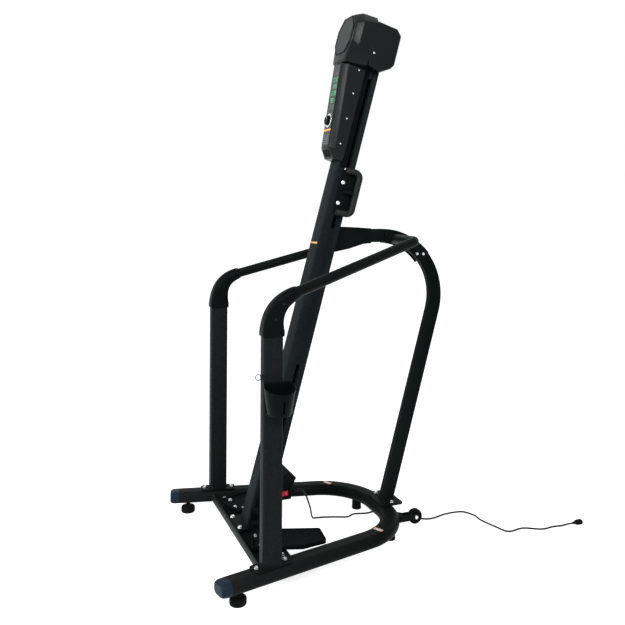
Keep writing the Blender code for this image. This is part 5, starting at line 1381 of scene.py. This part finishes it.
class ClimberConsole(bpy.types.Operator):
    """Build the console with its face, display, printed scale, knob and screws"""
    bl_idname = "climber.console"
    bl_label = "Console"

    def execute(self, context):
        low, top = CONSOLE_LOW, CONSOLE_TOP
        points = [(CONSOLE_HALF, CONSOLE_BACK, top), (CONSOLE_HALF, CONSOLE_BACK, low + 0.014),
                  (0.050, -0.028, low + 0.002), (0.060, CONSOLE_BACK, low)]
        for s in (FACE_LOW, top):
            points.append((CONSOLE_FACE_HALF, console_front(s), s))
            points.append((CONSOLE_HALF, console_front(s) + 0.024, s))
        cuts = (mast_room(low - 0.02, top + 0.02),
                box((-0.2, CONSOLE_BACK, low - 0.1), (0.2, 0.2, top + 0.1)),
                box((-0.040, -0.012, low + 0.012), (0.040, 0.006, top - 0.010)), knob_hole())
        make("console", cover(points, CONSOLE_BACK, 0.04, 0.0060, cuts), "cover", space=MAST,
             nodes=("console_shell",))
        spots = [(-0.019, s) for s in (1.753, 1.867, 1.981, 2.088)]
        places = [place for _, hand in SIDES for place in side_places(hand, CONSOLE_HALF, spots)]
        socket_screws("console_screws", places, 0.0036, 0.0020, space=MAST)
        self.vent()
        self.face()
        self.display()
        self.scale()
        self.knob()
        return {"FINISHED"}

    def vent(self):
        """Ribs on the slanted face under the console's face; their sheenless black also paints the shade on
        this face, which looks down.
        """
        place = Matrix(((1, 0, 0, 0), (0, -0.603, -0.798, -0.0443), (0, 0.798, -0.603, 1.7055), (0, 0, 0, 1)))
        bm = box((-0.036, -0.017, -0.0006), (0.036, 0.017, 0.0003), place)
        for k in range(5):
            box((-0.034, k * 0.0066 - 0.0145, 0.0001), (0.034, k * 0.0066 - 0.0119, 0.0014), place, bm)
        make("console_vent", bm, "painted_shade", space=MAST)

    def face(self):
        """A smooth plate set on the console's slope, with a hole for the knob."""
        low, high = FACE_LOW + 0.008, CONSOLE_TOP - 0.010
        outline = rounded(2 * CONSOLE_FACE_HALF - 0.006, (high - low) / math.cos(FACE_TILT), 0.006, 8)
        plate = prism(outline, 2, GAP, FACE_THICK, face_place(0, (low + high) / 2))
        # The plate's lighter bluish finish is painted sheen
        make("console_plate", join_shapes(plate, [knob_hole()]), "face", space=MAST, nodes=("console_face",),
             edge=0.0005)

    def display(self):
        bm = bmesh.new()
        for row, signs in enumerate(("012", "345", "678", "90-")):
            for k, sign in enumerate(signs):
                place = face_place(-0.006 + k * 0.0150, 2.020 - row * 0.0310, PRINT_LIFT)
                digit(bm, sign, place, field("digit_height"))
        make("display_digits", bm, "digits", space=MAST)

    def scale(self):
        """Plain marks printed around the display and the knob, and the stripe under the knob."""
        marks = [(0.002 * (k % 2), 2.034 - k * 0.0105, -0.026, -0.016, 0.0007) for k in range(12)]
        marks += [(0, s, -0.012, 0.030, 0.0009) for s in (2.060, 2.052, 1.914, 1.906, 1.898)]
        marks += [(0, 1.783 - k * 0.0095, -0.027, 0.027 - 0.003 * (k % 2), 0.0013) for k in range(5)]
        bm = bmesh.new()
        for x, s, left, right, half in marks:
            box((left, -half, 0), (right, half, 0.0002), face_place(x, s, PRINT_LIFT), bm)
        make("scale_marks", bm, "grey_ink", space=MAST)
        stripe = box((-0.0365, -0.0045, 0), (0.0365, 0.0045, 0.0002), face_place(0, 1.8045, PRINT_LIFT))
        make("console_stripe", stripe, "stripe", space=MAST)
        bm = bmesh.new()
        for k in range(21):
            angle = math.radians(-150 + 15 * k)
            reach = 0.0362 if k % 5 == 0 else 0.0350
            if abs(reach * math.sin(angle)) < CONSOLE_FACE_HALF - 0.004:
                turn = face_place(0, KNOB_S, PRINT_LIFT) @ Matrix.Rotation(-angle, 4, "Z")
                box((-0.0005, 0.0330, 0), (0.0005, reach, 0.0002), turn, bm)
        make("knob_scale", bm, "white_ink", space=MAST)

    def knob(self):
        place = face_place(0, KNOB_S, FACE_THICK + GAP)
        profile = [(0.0040, -0.016), (0.0040, 0), (0.0298, 0), (0.0306, 0.0004), (0.0310, 0.0010),
                   (0.0308, 0.0016), (0.0300, 0.0022), (0.0285, 0.0026), (0.0226, 0.0028), (0.0222, 0.0024),
                   (0.0100, 0.0024)]
        body = "resistance_knob"
        make("knob_ring", lathe(profile, 64, place), "chrome", body, MAST, ("resistance_knob",), sharp=50)
        levels = ((0.0025, 0.0218, 0.0), (0.0034, 0.0216, 0.0007), (0.0095, 0.0208, 0.0007),
                  (0.0118, 0.0202, 0.0004), (0.0128, 0.0192, 0.0), (0.0130, 0.0178, 0.0),
                  (0.0125, 0.0160, 0.0))
        dial = skin([ring(place, level, [wide, wide - deep] * 36) for level, wide, deep in levels])
        make("knob_dial", dial, "dark_cover", body, MAST, sharp=60)
        pointer = prism(rounded(0.003, 0.0080, 0.0012, 4, (0, 0.0115)), 2, 0.0126, 0.0134, place)
        make("knob_pointer", pointer, "white_ink", body, MAST)


# Grips, pedals and drive

class ClimberGrips(bpy.types.Operator):
    """Build the hand grips on their plates"""
    bl_idname = "climber.grips"
    bl_label = "Hand grips"

    def execute(self, context):
        middle = (GRIP_LOW + GRIP_HIGH) / 2
        near_n, far_n = 0.050, 0.105
        plate_low, plate_high = 0.028, 0.111
        plate = rounded(plate_high - plate_low, GRIP_HIGH - GRIP_LOW + 0.014, 0.018, 10,
                        ((plate_low + plate_high) / 2, middle))
        for name, hand in SIDES:
            body = name + "_grip"
            root, out = hand * (SLIDE_PLATE + 0.004), hand * STAND_OFF
            bend = [(root, near_n, GRIP_HIGH), (out, near_n, GRIP_HIGH), (out, far_n, GRIP_HIGH),
                    (out, far_n, GRIP_LOW), (out, near_n, GRIP_LOW), (root, near_n, GRIP_LOW)]
            make("grip_loop_" + name, self.sleeve(fillet(bend, (0.018, 0.026, 0.026, 0.018), 14)), "grip",
                 body, MAST, ("grip_" + name,), sharp=60)
            base = prism(plate, 0, *sorted((hand * SLIDE_PLATE, hand * SLIDE_PLATE_OUT)))
            make("grip_base_" + name, base, "coat", body, MAST, edge=0.0013)
            spar = [(root, near_n + 0.008, middle), (out, near_n + 0.008, middle), (out, far_n, middle)]
            make("grip_spar_" + name, sweep(fillet(spar, 0.012, 10), circle(0.009, 28), UP), "coat", body,
                 MAST)
            tongue = box(*sided(hand, (MAST_WIDTH / 2 - 0.0037, SLOT_MIDDLE - 0.007, 1.490),
                                (SLIDE_PLATE + 0.002, SLOT_MIDDLE + 0.007, 1.620)))
            make("grip_tongue_" + name, tongue, "dark_steel", body, MAST, edge=0.001)
            places = side_places(hand, SLIDE_PLATE_OUT, ((0.042, 1.504), (0.042, 1.596)))
            socket_screws("grip_bolts_" + name, places, 0.0098, 0.0055, body, MAST)
            places = side_places(hand, SLIDE_PLATE_OUT, ((0.036, 1.656),))
            socket_screws("grip_stop_screw_" + name, places, 0.0042, 0.0030, body, MAST)
            block = box(*sided(hand, (SLIDER_INNER, 0.034, 1.480), (MAST_WIDTH / 2 - 0.004, 0.066, 1.630)))
            make("grip_block_" + name, block, "dull_cover", body, MAST, ("grip_slider_" + name,), edge=0.002)
        return {"FINISHED"}

    def sleeve(self, bend):
        """The grip's bar along its bend, with a thicker ribbed rubber sleeve between its ends."""
        path = spaced(bend, 0.0022) + bend[-1:]
        low_end, high_end = 16, len(path) - 17
        rows = []
        for index, (point, across, top) in enumerate(frames(path, UP)):
            radius = 0.0135 if low_end < index < high_end else 0.0128
            if index % 3 == 0 and low_end + 3 < index < high_end - 3:
                radius = 0.01275
            rows.append([point + across * a * radius + top * b * radius for a, b in circle(1.0, 32)])
        return skin(rows)


def pedal_point(hand, e, d):
    """A point of the pedal's own plan (e across, d along) in the layout."""
    return (hand * (e * math.cos(PEDAL_TOE_OUT) + d * math.sin(PEDAL_TOE_OUT)),
            d * math.cos(PEDAL_TOE_OUT) - e * math.sin(PEDAL_TOE_OUT))


def pedal_outline(hand, inset):
    inner, outer, low = PEDAL_INNER + inset, PEDAL_OUTER - inset, 0.048 + inset
    corners = [(inner, low), (outer, low), (outer, 0.250), (outer - 0.046, 0.346 - inset),
               (inner, 0.326 - inset)]
    return [pedal_point(hand, e, d) for e, d in soften(corners, 0.014 - inset, 8)]


class ClimberPedals(bpy.types.Operator):
    """Build the foot pedals with their treads, and the arms that carry them"""
    bl_idname = "climber.pedals"
    bl_label = "Pedals"

    def execute(self, context):
        under = PEDAL_TOP - PEDAL_THICK
        rim = PEDAL_TOP + 0.008
        levels = ((0.0010, under), (0.0, under + 0.0012), (0.0, rim - 0.0014), (0.0006, rim - 0.0004),
                  (0.0018, rim), (0.0036, rim), (0.0048, rim - 0.0006), (0.0054, rim - 0.0018),
                  (0.0068, PEDAL_TOP + 0.0012), (0.0076, PEDAL_TOP + 0.0003), (0.0090, PEDAL_TOP))
        for name, hand in SIDES:
            body = name + "_pedal"
            bm = skin([[Vector((x, y, z)) for x, y in pedal_outline(hand, inset)] for inset, z in levels])
            make("pedal_pan_" + name, bm, "tread", body, nodes=("pedal_" + name,), sharp=50)
            self.tread(name, hand, body)
            self.arm(name, hand, body)
        return {"FINISHED"}

    def tread(self, name, hand, body):
        """Low ribs in two columns across the pan, behind its bolts, and the bolts and screws."""
        bm = bmesh.new()
        place = Matrix.Rotation(-hand * PEDAL_TOE_OUT, 4, "Z")
        for row in range(5, 22):
            d = 0.068 + row * 0.0112
            right = PEDAL_OUTER - 0.012 - max(0.0, d - 0.244) * 0.50
            for first, second in ((PEDAL_INNER + 0.013, PEDAL_INNER + 0.060), (PEDAL_INNER + 0.066, right)):
                box(*sided(hand, (first, d - 0.0018, PEDAL_TOP - 0.0005),
                           (second, d + 0.0018, PEDAL_TOP + 0.0007)), place, bm)
        make("pedal_ribs_" + name, bm, "tread", body, edge=0.0003)
        places = [Matrix.Translation((hand * x, 0.015, PEDAL_TOP)) for x in (0.148, 0.228)]
        bolt_piece("pedal_bolts_" + name, places, body, across=0.0125, washer=1.4)
        places = [Matrix.Translation((*pedal_point(hand, e, 0.088), PEDAL_TOP)) for e in (0.112, 0.214)]
        socket_screws("pedal_screws_" + name, places, 0.0055, 0.0030, body)

    def arm(self, name, hand, body):
        """A bent plate under the pan, up to the plate, tongue and block that slide on the mast."""
        thick = 0.005
        top = PEDAL_TOP - PEDAL_THICK - GAP
        step_z = MAST_FOOT_TOP + 0.022
        web, end = 0.080, 0.250
        outline = [(SLIDE_PLATE, step_z + 0.050), (SLIDE_PLATE_OUT, step_z + 0.050),
                   (SLIDE_PLATE_OUT, step_z), (web + thick, step_z), (web + thick, top), (end, top),
                   (end, top - thick), (web, top - thick), (web, step_z - thick),
                   (SLIDE_PLATE, step_z - thick)]
        parts = (((SLIDE_PLATE, 0.014, 0.154), (SLIDE_PLATE_OUT - 0.0005, 0.068, 0.325)),
                 ((MAST_WIDTH / 2 - 0.006, SLOT_MIDDLE - 0.007, 0.200),
                  (SLIDE_PLATE + 0.002, SLOT_MIDDLE + 0.007, 0.300)),
                 ((SLIDER_INNER, 0.034, 0.190), (MAST_WIDTH / 2 - 0.004, 0.066, 0.310)))
        to_mast = LAYOUT.inverted() @ MAST
        bm = join_shapes(prism([(hand * x, z) for x, z in outline], 1, 0.026, 0.060),
                         [box(*sided(hand, low, high), to_mast) for low, high in parts], "UNION")
        make("pedal_bracket_" + name, bm, "coat", body, nodes=("pedal_arm_" + name,), edge=0.0009)
        places = side_places(hand, SLIDE_PLATE_OUT - 0.0005, ((0.041, 0.225), (0.041, 0.285)))
        bolt_piece("pedal_arm_bolts_" + name, places, body, MAST, across=0.013, washer=1.35)


class ClimberDrive(bpy.types.Operator):
    """Give the belts, pulleys, axles, flywheel, brake and board inside the covers their finishes"""
    bl_idname = "climber.drive"
    bl_label = "Drive"

    def execute(self, context):
        looks = {"top_axle": "bolt", "bottom_axle": "bolt", "flywheel": "machined",
                 "flywheel_bracket": "dark_steel", "brake_arm": "dark_steel", "console_board": "board"}
        for name, _ in SIDES:
            looks["drive_belt_" + name] = "belt"
            looks["top_pulley_" + name] = "machined"
            looks["bottom_pulley_" + name] = "machined"
        for name, look in looks.items():
            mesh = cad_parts[name].data
            mesh.materials.clear()
            mesh.materials.append(finish(look))
        return {"FINISHED"}


# Power box, cup holder and hook

class ClimberPowerBox(bpy.types.Operator):
    """Build the power box behind the mast's foot with its rocker switch"""
    bl_idname = "climber.power_box"
    bl_label = "Power box"

    def execute(self, context):
        def behind(z):
            return MAST_START_Y + z * math.tan(MAST_LEAN) + MAST_DEPTH / math.cos(MAST_LEAN) + 0.0008
        half = 0.046
        y, z, long, wide = 0.178, 0.212, 0.028, 0.020
        low, high = z - wide / 2, z + wide / 2
        near, far = y - long / 2, y + long / 2
        outline = [(behind(0.185), 0.185), (0.206, 0.185), (0.210, 0.236), (0.230, 0.272), (0.196, 0.306),
                   (behind(0.262), 0.262)]
        inner = [(behind(0.185) - 0.004, 0.188), (0.203, 0.188), (0.207, 0.237), (0.226, 0.271),
                 (0.196, 0.302), (behind(0.262) - 0.001, 0.259)]
        cuts = [prism(inner, 0, 0.003 - half, half - 0.003),
                box((half - 0.010, near - 0.0016, low - GAP), (half + 0.010, far + 0.0016, high + GAP))]
        make("box_shell", join_shapes(prism(outline, 0, -half, half), cuts), "dark_cover",
             nodes=("power_box",), edge=0.0022, segments=3, sharp=25)
        bezel, hole = ([[Vector((level, a, b)) for a, b in shape] for level in (half - 0.0005, half + 0.0012)]
                       for shape in (rounded(long + 0.0072, wide + 0.0046, 0.003, 6, (y, z)),
                                     rounded(long + 0.0032, wide + 0.0006, 0.0006, 6, (y, z))))
        make("switch_bezel", skin(bezel, hole), "rubber", edge=0.0004)
        proud = half + 0.0008
        rise = long * math.tan(math.radians(14)) / 2
        curve = []
        for step in range(9):
            share = step / 8
            dip = 0.0009 * math.sin(math.pi * min(share * 2, 1.0)) * (share < 0.5)
            curve.append((proud + rise * max(0.0, 1 - share * 2) - dip, near + long * share))
        curve += [(half - 0.006, far - 0.001), (half - 0.006, near + 0.001)]
        make("rocker", prism(curve, 2, low, high), "red", "power_switch", nodes=("power_switch",),
             edge=0.0006, sharp=30)
        line = box((proud - 0.0002, y + 0.004, z - 0.0035), (proud + 0.0002, y + 0.0052, z + 0.0035))
        make("rocker_line", line, "white_ink", "power_switch")
        return {"FINISHED"}


class ClimberCup(bpy.types.Operator):
    """Build the cup holder and the hook ring on the right post"""
    bl_idname = "climber.cup"
    bl_label = "Cup holder"

    def execute(self, context):
        rows = [self.row(0.0, inset, lift) for inset, lift in ((0.006, 0.0), (0.002, 0.0010),
                                                               (0.0003, 0.0035))]
        rows += [self.row(share, 0.0, 0.0) for share in (0.06, 0.3, 0.6, 0.9, 0.975)]
        rim = ((0.0002, -0.0012), (0.0010, 0.0), (0.0022, 0.0), (0.0030, -0.0012))
        rows += [self.row(1.0, inset, lift) for inset, lift in rim]
        rows += [self.row(share, 0.003, 0.0) for share in (0.95, 0.6, 0.3, 0.09)]
        rows += [self.row(0.05, 0.005, 0.0), self.row(0.03, 0.009, 0.001)]
        far = CUP_BACK_X + CUP_REACH
        slot = box((far - 0.030, CUP_Y - 0.0035, 0.687), (far + 0.02, CUP_Y + 0.0035, 0.733))
        make("cup", join_shapes(skin(rows), [slot]), "dull_cover", nodes=("cup_holder",), sharp=50)
        self.hook()
        return {"FINISHED"}

    def row(self, share, inset, lift):
        """The D-shaped plan from the floor (0) to the slanted rim (1), drawn in by the inset."""
        half = 0.044 + 0.0155 * share - inset
        reach = CUP_REACH - 0.012 * (1 - share) - inset
        plan = [(CUP_BACK_X + inset, CUP_Y - half * 0.88)]
        for step in range(41):
            angle = math.pi * (step / 40 - 0.5)
            plan.append((CUP_BACK_X + 0.030 + (reach - 0.030) * math.cos(angle),
                         CUP_Y + half * math.sin(angle)))
        plan.append((CUP_BACK_X + inset, CUP_Y + half * 0.88))
        made = []
        for x, y in plan:
            top = CUP_RIM - (x - CUP_BACK_X) * 0.34
            made.append(Vector((x, y, CUP_FLOOR + (top - CUP_FLOOR) * share + lift)))
        return made

    def hook(self):
        front = -POST_DEPTH / 2 - GAP
        z, bend = 0.800, 0.0105
        seat = prism(rounded(0.012, 0.020, 0.003, 6, (BASE_SPREAD, z)), 1, front - 0.005, front)
        make("hook_seat", seat, "dark_steel", nodes=("hook_ring",), edge=0.0008)
        path = [(BASE_SPREAD, front - 0.003 - bend + a, z + b) for a, b in circle(bend, 40)]
        make("hook_eye", sweep(path, circle(0.0016, 16), (1, 0, 0), loop=True), "dark_steel")


class ClimberPanel(bpy.types.Panel):
    """Lists every step of the climber's looks"""
    bl_idname = "VIEW3D_PT_climber"
    bl_label = "Vertical Climber"
    bl_space_type = "VIEW_3D"
    bl_region_type = "UI"
    bl_category = "Climber"

    def draw(self, context):
        for step in STEPS:
            self.layout.operator(step.bl_idname)
        self.layout.label(text="Colours")
        for name in ClimberColours.__annotations__:
            self.layout.prop(context.scene.climber_colours, name)
        self.layout.label(text="Sizes")
        for name in ClimberSizes.__annotations__:
            self.layout.prop(context.scene.climber_sizes, name)


STEPS = (ClimberStage, ClimberCord, ClimberBase, ClimberPlatform, ClimberPosts, ClimberRails, ClimberArch,
         ClimberMast, ClimberHead, ClimberConsole, ClimberGrips, ClimberPedals, ClimberDrive, ClimberPowerBox,
         ClimberCup)
CLASSES = (ClimberColours, ClimberSizes, *STEPS, ClimberPanel)


def register():
    for item in CLASSES:
        bpy.utils.register_class(item)
    bpy.types.Scene.climber_colours = bpy.props.PointerProperty(type=ClimberColours)
    bpy.types.Scene.climber_sizes = bpy.props.PointerProperty(type=ClimberSizes)


def unregister():
    del bpy.types.Scene.climber_sizes
    del bpy.types.Scene.climber_colours
    for item in reversed(CLASSES):
        bpy.utils.unregister_class(item)


def main():
    register()
    for step in STEPS:
        area, name = step.bl_idname.split(".")
        result = getattr(getattr(bpy.ops, area), name)()
        if result != {"FINISHED"}:
            raise RuntimeError(f"{step.bl_label} didn't finish")


if __name__ == "__main__":
    main()
